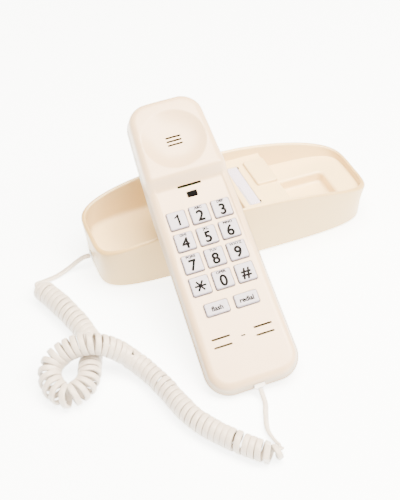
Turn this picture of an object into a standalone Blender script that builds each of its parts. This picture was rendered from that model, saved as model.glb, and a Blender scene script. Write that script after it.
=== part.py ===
"""Slimline wall telephone: a boat shaped base and a handset with the keypad in its face.

The handset lies face up across the base, with its mouth end on the table and its back on the
near rim. A curly cord runs from the base's end, round a loop, to the handset.
Units are metres, +Z is up. X runs along the base towards its ear end, and Y away from the user.
The origin is on the table under the middle of the base.
"""
import math

import bmesh
import bpy
from mathutils import Euler, Matrix, Vector

MM = 0.001
GAP = 0.3 * MM                    # air between pieces that touch on the real telephone

# ---- base -----------------------------------------------------------------------------------
BASE_LENGTH = 220 * MM
BASE_WIDTH = 74 * MM
BASE_CORNER = 5.0                 # exponent of the rounded plan outline
RIM_MIDDLE = 50.7 * MM            # height of the rim at the middle of each side
RIM_END = 33 * MM                 # height of the rim at both ends
RIM_TILT = 1.5 * MM               # how much lower the rim is at the ear end than at the mouth end
BASE_WALL = 3.2 * MM
SIDE_DRAFT = 3.5 * MM             # the base is narrower by this at the bottom, each side
END_DRAFT = 2.5 * MM
FOOT_HEIGHT = 1.5 * MM            # the housing's lower edge stands this high
TRAY_FLOOR = 18 * MM              # top of the tray's floor
EAR_FLOOR = 27 * MM               # top of the raised floor at the ear end
FLOOR_WALL = 2.4 * MM

BRIDGE_LEFT = 5 * MM              # the bridge carries the number card and the hook pad
BRIDGE_RIGHT = 41.5 * MM
BRIDGE_TOP = 41.5 * MM
PAD_LEFT = 24 * MM
PAD_FRONT = -5 * MM
PAD_BACK = 25 * MM
PAD_HEIGHT = 2.4 * MM
EAR_POCKET_LEFT = 44 * MM
EAR_POCKET_RIGHT = 86 * MM
EAR_POCKET_FRONT = -22 * MM
EAR_POCKET_BACK = 9 * MM

CARD_LENGTH = 47 * MM
CARD_WIDTH = 8.8 * MM
CARD_X = 14 * MM
CARD_THICKNESS = 0.5 * MM
WINDOW_THICKNESS = 0.8 * MM

COVER_THICKNESS = 2.0 * MM
FOOT_RADIUS = 5.5 * MM
FOOT_X = 84 * MM
FOOT_Y = 17 * MM
SCREW_X = 62 * MM
SCREW_Y = 22 * MM
SCREW_SHANK = 1.3 * MM            # radius
SCREW_HEAD = 2.8 * MM             # radius
SCREW_HEAD_DEPTH = 1.1 * MM
SCREW_LENGTH = 9 * MM
BOSS_RADIUS = 3.6 * MM
KEYHOLE_SPACING = 84 * MM         # the two studs of a wall plate
KEYHOLE_HEAD = 5.0 * MM           # radius
KEYHOLE_NECK = 2.5 * MM           # half width

KNOB_X = 40 * MM                  # ringer switch, in the far side wall
KNOB_Z = 12 * MM
KNOB_WIDTH = 6 * MM
KNOB_HEIGHT = 3.4 * MM
KNOB_TRAVEL = 4 * MM              # each way from the middle position
KNOB_SLOT = KNOB_WIDTH + 2 * KNOB_TRAVEL + 2 * GAP
KNOB_PROUD = 1.4 * MM
SWITCH_LENGTH = 18 * MM
SWITCH_DEPTH = 6.3 * MM
RINGER_BOARD_LEFT = -80 * MM
RINGER_BOARD_RIGHT = -18 * MM
RINGER_BOARD_HALF = 16 * MM
RINGER_BOARD_LIFT = 4 * MM        # over the cover
SOUNDER_RADIUS = 13 * MM
SOUNDER_X = -34 * MM
WEIGHT_LEFT = 2 * MM
WEIGHT_HALF = 16 * MM
WEIGHT_HEIGHT = 8.7 * MM

# ---- handset --------------------------------------------------------------------------------
# The handset's own frame: x across to its right, y towards the ear, z out of the face.
# Its origin is on the face, at the middle key of the top row.
HANDSET_X = -40.6 * MM
HANDSET_REACH = 12.4 * MM         # from the near rim to the handset's origin
HANDSET_REST = 10.4 * MM          # from the origin back along x to where the rim carries the handset
HANDSET_RISE = 21.91 * MM         # from the rim there up to the origin
HANDSET_TURN = Euler((math.radians(27.25), math.radians(-5.25), math.radians(-3.9)), 'XYZ')
EAR_END = 93.5 * MM
MOUTH_END = -125 * MM
EAR_HALF_WIDTH = 28.8 * MM        # at the start of the ear end's corners
MIDDLE_HALF_WIDTH = 31.6 * MM
MOUTH_HALF_WIDTH = 32.8 * MM      # at the start of the mouth end's corners
EAR_CORNER = 17 * MM
MOUTH_CORNER = 17 * MM
PARTING = -8 * MM                 # level of the seam between the two shells
SHELL = 2.1 * MM
FACE_FILLET = 3.2 * MM
SIDE_SLOPE = 1.4 * MM             # how far the side walls lean in, up to the fillet
BACK_FILLET = 7 * MM
EAR_BLOCK = 8 * MM                # height of the ear block over the keypad face
STEP_FOOT = 23.5 * MM             # the slope up to the ear block starts here
STEP_HEAD = 32 * MM
CUP_Y = 58 * MM
CUP_RADIUS = 22.5 * MM
CUP_DEPTH = 5 * MM
BACK_MOUTH = -15.0 * MM           # level of the back at the mouth end
BACK_MIDDLE = -24.0 * MM
BACK_EAR = -25.0 * MM

# ---- keys -----------------------------------------------------------------------------------
KEY_PITCH_X = 16.2 * MM
KEY_PITCH_Y = 16.5 * MM
KEY_SIZE = 13.2 * MM
KEY_TOP = 1.7 * MM                # how far the caps stand proud of the face
KEY_TRAVEL = 1.2 * MM
KEY_GAP = 0.45 * MM               # between a cap and its opening
KEY_FLANGE = 0.9 * MM             # the cap is wider by this under the face
FUNCTION_KEY_WIDTH = 16.5 * MM
FUNCTION_KEY_DEPTH = 9 * MM
FUNCTION_KEY_X = 10.5 * MM
FUNCTION_KEY_Y = -67.5 * MM
MAT_THICKNESS = 1.2 * MM
BOARD_THICKNESS = 1.6 * MM

HOOK_Y = 16.5 * MM
HOOK_WIDTH = 7 * MM
HOOK_DEPTH = 4 * MM
HOOK_TOP = 1.2 * MM
HOOK_TRAVEL = 2.0 * MM
STRIKE_SLOT = (17 * MM, 1.3 * MM)   # slot at the foot of the step

EAR_SLIT = 11.3 * MM
EAR_SLIT_PITCH = 3.0 * MM
MOUTH_SLIT = 12.9 * MM
MOUTH_SLIT_X = 14.8 * MM
MOUTH_SLIT_PITCH = 5.7 * MM
MOUTH_SLIT_Y = -90.5 * MM
SLIT_WIDTH = 1.1 * MM

# ---- cord -----------------------------------------------------------------------------------
JACK_WIDTH = 12 * MM
JACK_HEIGHT = 7.4 * MM
JACK_DEPTH = 12.5 * MM
PLUG_WIDTH = 7.6 * MM
PLUG_HEIGHT = 5.0 * MM
PLUG_LENGTH = 10 * MM
CORD_JACK_Y = 4 * MM
CORD_JACK_Z = 9.5 * MM
LINE_JACK_X = -9 * MM             # socket in the underside, between the keyholes
CORD_RADIUS = 1.7 * MM            # of the plain stretches
COIL_RADIUS = 7.4 * MM            # outer radius of the curly stretch

MODEL_NAME = "slimline_wall_phone"


# ---- scene helpers --------------------------------------------------------------------------
def clear_scene():
    for obj in list(bpy.data.objects):
        bpy.data.objects.remove(obj, do_unlink=True)


def make_collection(name):
    collection = bpy.data.collections.new(name)
    bpy.context.scene.collection.children.link(collection)
    return collection


clear_scene()
PARTS = make_collection(MODEL_NAME)
CUTTERS = make_collection("cutters")


def material(name, color, roughness, metallic=0.0):
    mat = bpy.data.materials.new(name)
    mat.use_nodes = True
    shader = mat.node_tree.nodes["Principled BSDF"]
    shader.inputs["Base Color"].default_value = (*color, 1.0)
    shader.inputs["Roughness"].default_value = roughness
    shader.inputs["Metallic"].default_value = metallic
    return mat


CREAM = material("cream_plastic", (0.84, 0.74, 0.62), 0.38)
KEY_WHITE = material("key_plastic", (0.72, 0.70, 0.72), 0.25)
BLACK = material("black_plastic", (0.02, 0.02, 0.02), 0.45)
CLEAR = material("clear_plastic", (0.85, 0.87, 0.88), 0.08)
CARD = material("card", (0.82, 0.78, 0.84), 0.7)
RUBBER = material("rubber", (0.35, 0.34, 0.33), 0.8)
STEEL = material("steel", (0.62, 0.62, 0.62), 0.32, 1.0)
BOARD_GREEN = material("circuit_board", (0.08, 0.28, 0.12), 0.5)
FOAM = material("foam", (0.12, 0.12, 0.12), 0.95)
CORD_VINYL = material("cord_vinyl", (0.76, 0.71, 0.66), 0.42)


def add_object(name, mesh, mat, parent=None, matrix=None, collection=None):
    obj = bpy.data.objects.new(name, mesh)
    (collection or PARTS).objects.link(obj)
    if mat is not None:
        mesh.materials.append(mat)
    if parent is not None:
        obj.parent = parent
    if matrix is not None:
        obj.matrix_local = matrix
    return obj


def shade(mesh, angle=35):
    mesh.shade_smooth()
    mesh.set_sharp_from_angle(angle=math.radians(angle))


def add_bevel(obj, width, segments=2):
    bevel = obj.modifiers.new("rounded_edges", 'BEVEL')
    bevel.width = width
    bevel.segments = segments
    bevel.limit_method = 'ANGLE'
    bevel.angle_limit = math.radians(40)
    return bevel


def box_mesh(name, size, centre=(0, 0, 0)):
    mesh = bpy.data.meshes.new(name)
    bm = bmesh.new()
    bmesh.ops.create_cube(bm, size=1.0, matrix=Matrix.Translation(centre) @ Matrix.Diagonal((*size, 1.0)))
    bm.to_mesh(mesh)
    bm.free()
    return mesh


def box(name, low, high, mat, parent=None, bevel=0.0, segments=2):
    size = [h - l for l, h in zip(low, high)]
    centre = Vector([(h + l) / 2 for l, h in zip(low, high)])
    obj = add_object(name, box_mesh(name, size), mat, parent, Matrix.Translation(centre))
    if bevel:
        add_bevel(obj, bevel, segments)
    return obj


def cylinder(name, radius, low, high, place, mat, parent=None, sides=24, bevel=0.0):
    """A cylinder along z from low to high, at the (x, y) place."""
    mesh = bpy.data.meshes.new(name)
    bm = bmesh.new()
    bmesh.ops.create_cone(bm, cap_ends=True, segments=sides, radius1=radius, radius2=radius,
                          depth=high - low)
    bm.to_mesh(mesh)
    bm.free()
    shade(mesh)
    matrix = Matrix.Translation((place[0], place[1], (low + high) / 2))
    obj = add_object(name, mesh, mat, parent, matrix)
    if bevel:
        add_bevel(obj, bevel)
    return obj


def turned(name, profile, matrix, mat, parent=None, steps=16):
    """A turned piece: the profile's (radius, height) points run from the top down."""
    mesh = bpy.data.meshes.new(name)
    bm = bmesh.new()
    verts = [bm.verts.new((r, 0.0, z)) for r, z in profile]
    for a, b in zip(verts, verts[1:]):
        bm.edges.new((a, b))
    bm.to_mesh(mesh)
    bm.free()
    obj = add_object(name, mesh, mat, parent, matrix)
    screw = obj.modifiers.new("turned", 'SCREW')
    screw.steps = steps
    screw.render_steps = steps
    screw.use_merge_vertices = True
    screw.merge_threshold = 0.01 * MM
    screw.use_smooth_shade = True
    return obj


def cutter_boxes(name, boxes, matrix=None, bevel=0.0):
    """One cutter made of separate boxes, each given by its low and high corner."""
    mesh = bpy.data.meshes.new(name)
    bm = bmesh.new()
    for low, high in boxes:
        size = [h - l for l, h in zip(low, high)]
        centre = [(h + l) / 2 for l, h in zip(low, high)]
        bmesh.ops.create_cube(bm, size=1.0,
                              matrix=Matrix.Translation(centre) @ Matrix.Diagonal((*size, 1.0)))
    bm.to_mesh(mesh)
    bm.free()
    obj = add_object(name, mesh, None, None, matrix, CUTTERS)
    if bevel:
        add_bevel(obj, bevel, 2)
    return hide_cutter(obj)


def hide_cutter(obj):
    obj.hide_render = True
    obj.display_type = 'WIRE'
    return obj


def boolean(obj, cutter, operation='DIFFERENCE'):
    mod = obj.modifiers.new(operation.lower(), 'BOOLEAN')
    mod.operation = operation
    mod.solver = 'EXACT'
    mod.object = cutter
    return mod


def smooth_route(points, spacing):
    """Points read off a smooth Catmull-Rom curve through the route, about `spacing` apart."""
    pts = [Vector(p) for p in points]
    ext = [pts[0] * 2 - pts[1]] + pts + [pts[-1] * 2 - pts[-2]]
    fine = []
    for i in range(1, len(ext) - 2):
        a, b, c, d = ext[i - 1:i + 3]
        for k in range(16):
            t = k / 16
            fine.append(0.5 * (2 * b + (c - a) * t + (2 * a - 5 * b + 4 * c - d) * t * t
                               + (3 * b - a - 3 * c + d) * t ** 3))
    fine.append(pts[-1])
    total = sum((q - p).length for p, q in zip(fine, fine[1:]))
    count = max(2, round(total / spacing))
    step = total / count
    out = [fine[0]]
    run = 0.0
    target = step
    for p, q in zip(fine, fine[1:]):
        length = (q - p).length
        while target <= run + length and len(out) < count:
            out.append(p.lerp(q, (target - run) / length))
            target += step
        run += length
    out.append(fine[-1])
    return out


def tube(name, points, radius, mat, resolution=2, parent=None):
    curve = bpy.data.curves.new(name, 'CURVE')
    curve.dimensions = '3D'
    spline = curve.splines.new('POLY')
    spline.points.add(len(points) - 1)
    for slot, point in zip(spline.points, points):
        slot.co = (*point, 1.0)
    curve.bevel_depth = radius
    curve.bevel_resolution = resolution
    curve.use_fill_caps = True
    return add_object(name, curve, mat, parent)


# ---- lofted shells --------------------------------------------------------------------------
def superellipse(half_length, half_width, power, count):
    """Plan outline points, counter clockwise from +X."""
    out = []
    for i in range(count):
        angle = 2 * math.pi * i / count
        c, s = math.cos(angle), math.sin(angle)
        out.append((half_length * math.copysign(abs(c) ** (2 / power), c),
                    half_width * math.copysign(abs(s) ** (2 / power), s)))
    return out


def rim_height(x):
    """Height of the base's arched rim at x."""
    u = 2 * x / BASE_LENGTH
    return RIM_END + (RIM_MIDDLE - RIM_END) * (1 - u * u) - RIM_TILT * u


HANDSET_PLACE = Vector((HANDSET_X, -BASE_WIDTH / 2 - HANDSET_REACH,
                        HANDSET_RISE + rim_height(HANDSET_X - HANDSET_REST)))


def base_ring(bm, inset, height, count):
    """A ring of the base's plan, inset from the rim's outline, at height(x) or a fixed height."""
    points = superellipse(BASE_LENGTH / 2 - inset[0], BASE_WIDTH / 2 - inset[1], BASE_CORNER, count)
    return [bm.verts.new((x, y, height(x) if callable(height) else height)) for x, y in points]


def bridge_rings(bm, rings):
    for low, high in zip(rings, rings[1:]):
        n = len(low)
        for i in range(n):
            j = (i + 1) % n
            bm.faces.new((low[i], low[j], high[j], high[i]))


BASE_SIDES = 64


def wall_inset(z, extra=0.0):
    """Inset of the outer wall at height z, for its draft, plus a fixed inset."""
    share = 1.0 - (z - FOOT_HEIGHT) / (RIM_MIDDLE - FOOT_HEIGHT)
    return (END_DRAFT * share + extra, SIDE_DRAFT * share + extra)


def base_housing():
    """The base's one moulding: outer wall, rolled rim, tray floor and a hollow underside."""
    mesh = bpy.data.meshes.new("base_housing")
    bm = bmesh.new()
    count = BASE_SIDES
    half = BASE_WALL / 2
    edge = 1.5 * MM                     # rounding of the lower edge and of the tray's corner
    under = TRAY_FLOOR - FLOOR_WALL
    rings = [base_ring(bm, wall_inset(under, BASE_WALL), under, count),
             base_ring(bm, wall_inset(FOOT_HEIGHT, BASE_WALL), FOOT_HEIGHT, count),
             base_ring(bm, wall_inset(FOOT_HEIGHT, edge / 2), FOOT_HEIGHT, count),
             base_ring(bm, wall_inset(FOOT_HEIGHT + edge), FOOT_HEIGHT + edge, count),
             base_ring(bm, wall_inset(TRAY_FLOOR), TRAY_FLOOR, count)]
    for angle in (0, 45, 90, 135, 180):
        a = math.radians(angle)
        inset = half * (1 - math.cos(a))
        rings.append(base_ring(bm, (inset, inset),
                               lambda x, a=a: rim_height(x) - half + half * math.sin(a), count))
    corner = 4 * MM                     # fillet between the tray's wall and its floor
    for angle in (0, 45, 90):
        a = math.radians(angle)
        rings.append(base_ring(bm, wall_inset(TRAY_FLOOR, BASE_WALL + corner * (1 - math.cos(a))),
                               TRAY_FLOOR + corner * (1 - math.sin(a)), count))
    bridge_rings(bm, rings)
    bm.faces.new(list(reversed(rings[0])))
    bm.faces.new(rings[-1])
    bmesh.ops.recalc_face_normals(bm, faces=bm.faces)
    bm.to_mesh(mesh)
    bm.free()
    shade(mesh)
    return add_object("base_housing", mesh, CREAM)


def tray_half_width(x, z, inset):
    """Half width inside the wall at (x, z)."""
    a = BASE_LENGTH / 2 - wall_inset(z)[0] - inset
    b = BASE_WIDTH / 2 - wall_inset(z)[1] - inset
    return b * (1 - min(1.0, abs(x) / a) ** BASE_CORNER) ** (1 / BASE_CORNER)


def loft_plan(name, x_low, x_high, z_low, z_high, inset, stations=10):
    """A block between x_low and x_high whose sides follow the base's wall, as a cutter or filler."""
    mesh = bpy.data.meshes.new(name)
    bm = bmesh.new()
    xs = [x_low + (x_high - x_low) * i / (stations - 1) for i in range(stations)]
    loops = []
    for z in (z_low, z_high):
        near = [bm.verts.new((x, -tray_half_width(x, z, inset), z)) for x in xs]
        far = [bm.verts.new((x, tray_half_width(x, z, inset), z)) for x in reversed(xs)]
        loops.append(near + far)
    bridge_rings(bm, loops)
    bm.faces.new(list(reversed(loops[0])))
    bm.faces.new(loops[1])
    bmesh.ops.recalc_face_normals(bm, faces=bm.faces)
    bm.to_mesh(mesh)
    bm.free()
    return hide_cutter(add_object(name, mesh, None, None, None, CUTTERS))


# ---- base pieces ----------------------------------------------------------------------------
JACK_FACE = BASE_LENGTH / 2 - END_DRAFT - BASE_WALL - GAP    # where a jack's mouth meets the end wall


def build_base():
    housing = base_housing()
    half_wall = BASE_WALL / 2
    boolean(housing, loft_plan("bridge_block", BRIDGE_LEFT, BRIDGE_RIGHT, TRAY_FLOOR - FLOOR_WALL / 2,
                               BRIDGE_TOP, half_wall), 'UNION')
    ear_right = BASE_LENGTH / 2 - wall_inset(EAR_FLOOR)[0] - half_wall
    boolean(housing, loft_plan("ear_floor_block", BRIDGE_RIGHT - FLOOR_WALL / 2, ear_right,
                               TRAY_FLOOR - FLOOR_WALL / 2, EAR_FLOOR, half_wall, 24), 'UNION')
    pad = cutter_boxes("hook_pad_block", [((PAD_LEFT, PAD_FRONT, BRIDGE_TOP - FLOOR_WALL / 2),
                                           (BRIDGE_RIGHT - 0.4 * MM, PAD_BACK, BRIDGE_TOP + PAD_HEIGHT))])
    boolean(housing, pad, 'UNION')
    under_low = TRAY_FLOOR - FLOOR_WALL - 1 * MM
    boolean(housing, loft_plan("bridge_hollow", BRIDGE_LEFT + FLOOR_WALL, BRIDGE_RIGHT - FLOOR_WALL,
                               under_low, BRIDGE_TOP - FLOOR_WALL, BASE_WALL + 1 * MM))
    boolean(housing, loft_plan("ear_hollow", EAR_POCKET_RIGHT + FLOOR_WALL, ear_right - 6 * MM,
                               under_low, EAR_FLOOR - FLOOR_WALL, BASE_WALL + 2 * MM))
    pocket = ((EAR_POCKET_LEFT, EAR_POCKET_FRONT, TRAY_FLOOR),
              (EAR_POCKET_RIGHT, EAR_POCKET_BACK, EAR_FLOOR + 5 * MM))
    boolean(housing, cutter_boxes("ear_pocket_cut", [pocket], bevel=2.5 * MM))
    seat_low = BRIDGE_TOP - CARD_THICKNESS - WINDOW_THICKNESS
    seat = ((CARD_X - CARD_WIDTH / 2 - GAP, -CARD_LENGTH / 2 - GAP, seat_low),
            (CARD_X + CARD_WIDTH / 2 + GAP, CARD_LENGTH / 2 + GAP, BRIDGE_TOP + 5 * MM))
    jack_hole = (PLUG_WIDTH / 2 + GAP, PLUG_HEIGHT / 2 + GAP)
    holes = [seat]
    holes.append(((-BASE_LENGTH / 2 - 1 * MM, CORD_JACK_Y - jack_hole[0], CORD_JACK_Z - jack_hole[1]),
                  (-BASE_LENGTH / 2 + 12 * MM, CORD_JACK_Y + jack_hole[0], CORD_JACK_Z + jack_hole[1])))
    holes.append(((KNOB_X - KNOB_SLOT / 2, BASE_WIDTH / 2 - 8 * MM, KNOB_Z - KNOB_HEIGHT / 2 - GAP),
                  (KNOB_X + KNOB_SLOT / 2, BASE_WIDTH / 2 + 5 * MM, KNOB_Z + KNOB_HEIGHT / 2 + GAP)))
    boolean(housing, cutter_boxes("base_openings", holes))
    boss_low = FOOT_HEIGHT + COVER_THICKNESS + GAP
    spots = four_corners(SCREW_X, SCREW_Y)
    boolean(housing, cutter_cylinders("screw_bosses", spots, BOSS_RADIUS, boss_low,
                                      TRAY_FLOOR - FLOOR_WALL / 2), 'UNION')
    boolean(housing, cutter_cylinders("screw_bores", spots, SCREW_SHANK + GAP, boss_low - MM,
                                      boss_low + SCREW_LENGTH))
    return housing


def four_corners(x, y):
    return [(sx * x, sy * y) for sx in (-1, 1) for sy in (-1, 1)]


def cutter_cylinders(name, places, radius, low, high, sides=12):
    mesh = bpy.data.meshes.new(name)
    bm = bmesh.new()
    for x, y in places:
        bmesh.ops.create_cone(bm, cap_ends=True, segments=sides, radius1=radius, radius2=radius,
                              depth=high - low, matrix=Matrix.Translation((x, y, (low + high) / 2)))
    bm.to_mesh(mesh)
    bm.free()
    return hide_cutter(add_object(name, mesh, None, None, None, CUTTERS))


def plate_outline(name, inset, low, high, mat, count=BASE_SIDES):
    """A flat plate that follows the base's plan, as a filled 2D curve with an extrude."""
    curve = bpy.data.curves.new(name, 'CURVE')
    curve.dimensions = '2D'
    curve.fill_mode = 'BOTH'
    spline = curve.splines.new('POLY')
    points = superellipse(BASE_LENGTH / 2 - inset[0], BASE_WIDTH / 2 - inset[1], BASE_CORNER, count)
    spline.points.add(len(points) - 1)
    for slot, (x, y) in zip(spline.points, points):
        slot.co = (x, y, 0.0, 1.0)
    spline.use_cyclic_u = True
    curve.extrude = (high - low) / 2
    obj = add_object(name, curve, None, None, Matrix.Translation((0, 0, (low + high) / 2)))
    return curve_to_mesh(obj, mat)


def curve_to_mesh(obj, mat):
    """Turn a curve object into a mesh object with welded caps, in the same place."""
    bpy.context.view_layer.update()
    graph = bpy.context.evaluated_depsgraph_get()
    mesh = bpy.data.meshes.new_from_object(obj.evaluated_get(graph))
    bm = bmesh.new()
    bm.from_mesh(mesh)
    bmesh.ops.remove_doubles(bm, verts=bm.verts, dist=0.01 * MM)
    bm.to_mesh(mesh)
    bm.free()
    name = obj.name
    world = obj.matrix_world.copy()
    bpy.data.objects.remove(obj, do_unlink=True)
    mesh.materials.clear()
    new = add_object(name, mesh, mat)
    new.matrix_world = world
    return new


def build_base_fittings():
    low = FOOT_HEIGHT
    high = FOOT_HEIGHT + COVER_THICKNESS
    cover = plate_outline("base_bottom_cover", wall_inset(FOOT_HEIGHT, BASE_WALL + GAP), low, high, CREAM)
    boolean(cover, cutter_cylinders("cover_screw_holes", four_corners(SCREW_X, SCREW_Y),
                                    SCREW_SHANK + GAP, low - MM, high + MM))
    heads, necks = [], []
    for x in (-KEYHOLE_SPACING / 2, KEYHOLE_SPACING / 2):
        heads.append(((x - KEYHOLE_HEAD, -KEYHOLE_HEAD, low - MM),
                      (x + KEYHOLE_HEAD, KEYHOLE_HEAD, high + MM)))
        necks.append(((x + KEYHOLE_HEAD - MM, -KEYHOLE_NECK, low - MM),
                      (x + 2.4 * KEYHOLE_HEAD, KEYHOLE_NECK, high + MM)))
    boolean(cover, cutter_boxes("keyhole_heads", heads))
    boolean(cover, cutter_boxes("keyhole_necks", necks))
    socket = ((LINE_JACK_X - PLUG_HEIGHT / 2 - GAP, -PLUG_WIDTH / 2 - GAP, low - MM),
              (LINE_JACK_X + PLUG_HEIGHT / 2 + GAP, PLUG_WIDTH / 2 + GAP, high + MM))
    boolean(cover, cutter_boxes("line_socket_opening", [socket]))

    head_top = FOOT_HEIGHT - GAP
    for number, spot in enumerate(four_corners(FOOT_X, FOOT_Y), 1):
        cylinder(f"foot_{number}", FOOT_RADIUS, 0.0, head_top, spot, RUBBER, sides=20, bevel=0.3 * MM)
    tip = head_top + COVER_THICKNESS + SCREW_LENGTH - 2 * MM
    profile = [(0.0, tip), (SCREW_SHANK, tip - MM), (SCREW_SHANK, head_top), (SCREW_HEAD, head_top),
               (SCREW_HEAD * 0.8, head_top - SCREW_HEAD_DEPTH), (0.0, head_top - SCREW_HEAD_DEPTH)]
    for number, (x, y) in enumerate(four_corners(SCREW_X, SCREW_Y), 1):
        turned(f"base_screw_{number}", profile, Matrix.Translation((x, y, 0)), STEEL, steps=12)

    seat_low = BRIDGE_TOP - CARD_THICKNESS - WINDOW_THICKNESS
    box("number_card", (CARD_X - CARD_WIDTH / 2, -CARD_LENGTH / 2, seat_low + 0.05 * MM),
        (CARD_X + CARD_WIDTH / 2, CARD_LENGTH / 2, seat_low + CARD_THICKNESS), CARD)
    window_low = seat_low + CARD_THICKNESS + 0.1 * MM
    box("number_card_window", (CARD_X - CARD_WIDTH / 2, -CARD_LENGTH / 2, window_low),
        (CARD_X + CARD_WIDTH / 2, CARD_LENGTH / 2, BRIDGE_TOP + 0.4 * MM), CLEAR, bevel=0.25 * MM)

    floor_under = TRAY_FLOOR - FLOOR_WALL
    cover_top = high
    jack("handset_cord_jack", -JACK_FACE, CORD_JACK_Y, CORD_JACK_Z)
    line_jack = box("line_jack", (LINE_JACK_X - JACK_HEIGHT / 2, -JACK_WIDTH / 2, cover_top + GAP),
                    (LINE_JACK_X + JACK_HEIGHT / 2, JACK_WIDTH / 2, floor_under - GAP), BLACK)
    socket = ((LINE_JACK_X - PLUG_HEIGHT / 2 - GAP, -PLUG_WIDTH / 2 - GAP, low),
              (LINE_JACK_X + PLUG_HEIGHT / 2 + GAP, PLUG_WIDTH / 2 + GAP, floor_under - 2 * MM))
    boolean(line_jack, cutter_boxes("line_socket", [socket]))

    board_low = cover_top + RINGER_BOARD_LIFT
    board_high = board_low + BOARD_THICKNESS
    box("ringer_board", (RINGER_BOARD_LEFT, -RINGER_BOARD_HALF, board_low),
        (RINGER_BOARD_RIGHT, RINGER_BOARD_HALF, board_high), BOARD_GREEN)
    cylinder("ringer_sounder", SOUNDER_RADIUS, board_high + GAP, floor_under - 1.5 * MM, (SOUNDER_X, 0.0),
             BLACK, sides=28, bevel=0.6 * MM)
    weight_right = KEYHOLE_SPACING / 2 - KEYHOLE_HEAD - 2 * MM
    box("base_weight", (WEIGHT_LEFT, -WEIGHT_HALF, cover_top + GAP),
        (weight_right, WEIGHT_HALF, cover_top + GAP + WEIGHT_HEIGHT), STEEL, bevel=0.6 * MM, segments=1)

    inner = BASE_WIDTH / 2 - wall_inset(KNOB_Z)[1] - BASE_WALL
    switch_face = inner - 4 * GAP
    body_low = (KNOB_X - SWITCH_LENGTH / 2, switch_face - SWITCH_DEPTH, KNOB_Z - 4 * MM)
    body_high = (KNOB_X + SWITCH_LENGTH / 2, switch_face, floor_under - GAP)
    box("ringer_switch_body", body_low, body_high, BLACK, bevel=0.3 * MM, segments=1)
    knob_low = (-KNOB_WIDTH / 2, switch_face + GAP, -KNOB_HEIGHT / 2)
    knob_high = (KNOB_WIDTH / 2, BASE_WIDTH / 2 - wall_inset(KNOB_Z)[1] + KNOB_PROUD, KNOB_HEIGHT / 2)
    knob = box("ringer_switch_knob", knob_low, knob_high, BLACK, bevel=0.35 * MM)
    knob.location.x += KNOB_X
    knob.location.z += KNOB_Z


def jack(name, face_x, y, z):
    """A modular jack behind the base's mouth end wall, open towards -X."""
    body = box(name, (face_x, y - JACK_WIDTH / 2, z - JACK_HEIGHT / 2 + 0.2 * MM),
               (face_x + JACK_DEPTH, y + JACK_WIDTH / 2, z + JACK_HEIGHT / 2), BLACK)
    hole = ((face_x - MM, y - PLUG_WIDTH / 2 - GAP, z - PLUG_HEIGHT / 2 - GAP),
            (face_x + PLUG_LENGTH + GAP, y + PLUG_WIDTH / 2 + GAP, z + PLUG_HEIGHT / 2 + GAP))
    boolean(body, cutter_boxes(name + "_socket", [hole]))
    return body


# ---- handset shape --------------------------------------------------------------------------
def blend(a, b, t):
    t = max(0.0, min(1.0, t))
    return a + (b - a) * t


def ease(t):
    t = max(0.0, min(1.0, t))
    return t * t * (3 - 2 * t)


def side_half_width(y):
    """Half width of the handset's plan between its end corners."""
    if y > 0:
        return blend(MIDDLE_HALF_WIDTH, EAR_HALF_WIDTH, (y / (EAR_END - EAR_CORNER)) ** 1.5)
    return blend(MIDDLE_HALF_WIDTH, MOUTH_HALF_WIDTH, y / (MOUTH_END + MOUTH_CORNER))


def face_level(x, y):
    """Level of the outer face: flat at the keys, sloping up to the ear block, dished at the ear."""
    z = EAR_BLOCK * ease((y - STEP_FOOT) / (STEP_HEAD - STEP_FOOT))
    r = math.hypot(x, y - CUP_Y) / CUP_RADIUS
    if r < 1:
        z -= CUP_DEPTH * ease((1 - r) * 1.35)
    crown = 1.2 * MM * (x / EAR_HALF_WIDTH) ** 2
    end_drop = 2.0 * MM * ease((y - EAR_END + 30 * MM) / (30 * MM)) ** 2
    return z - (crown + end_drop) * ease((y - STEP_HEAD) / (10 * MM))


def back_level(x, y):
    """Level of the outer back: deepest behind the ear, shallow at the mouth."""
    if y < 0:
        z = blend(BACK_MIDDLE, BACK_MOUTH, (y / MOUTH_END) ** 1.35)
    else:
        z = blend(BACK_MIDDLE, BACK_EAR, y / (EAR_END * 0.6))
    lift = 5 * MM * ease((y - EAR_END + 34 * MM) / (34 * MM)) ** 2
    return z + lift + 1.0 * MM * (x / MIDDLE_HALF_WIDTH) ** 2


def outline_stations(side_step, corner_steps):
    """Stations along one side: (half width, y, inward normal x, inward normal y)."""
    out = []
    for i in range(corner_steps + 1):
        a = math.radians(90 * i / corner_steps)
        centre_y = MOUTH_END + MOUTH_CORNER
        half = side_half_width(centre_y) - MOUTH_CORNER
        out.append((half + MOUTH_CORNER * math.sin(a), centre_y - MOUTH_CORNER * math.cos(a),
                    -math.sin(a), math.cos(a)))
    low, high = MOUTH_END + MOUTH_CORNER, EAR_END - EAR_CORNER
    count = round((high - low) / side_step)
    for i in range(1, count):
        y = low + (high - low) * i / count
        out.append((side_half_width(y), y, -1.0, 0.0))
    for i in range(corner_steps + 1):
        a = math.radians(90 * i / corner_steps)
        half = side_half_width(high) - EAR_CORNER
        out.append((half + EAR_CORNER * math.cos(a), high + EAR_CORNER * math.sin(a),
                    -math.cos(a), -math.sin(a)))
    return out


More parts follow.
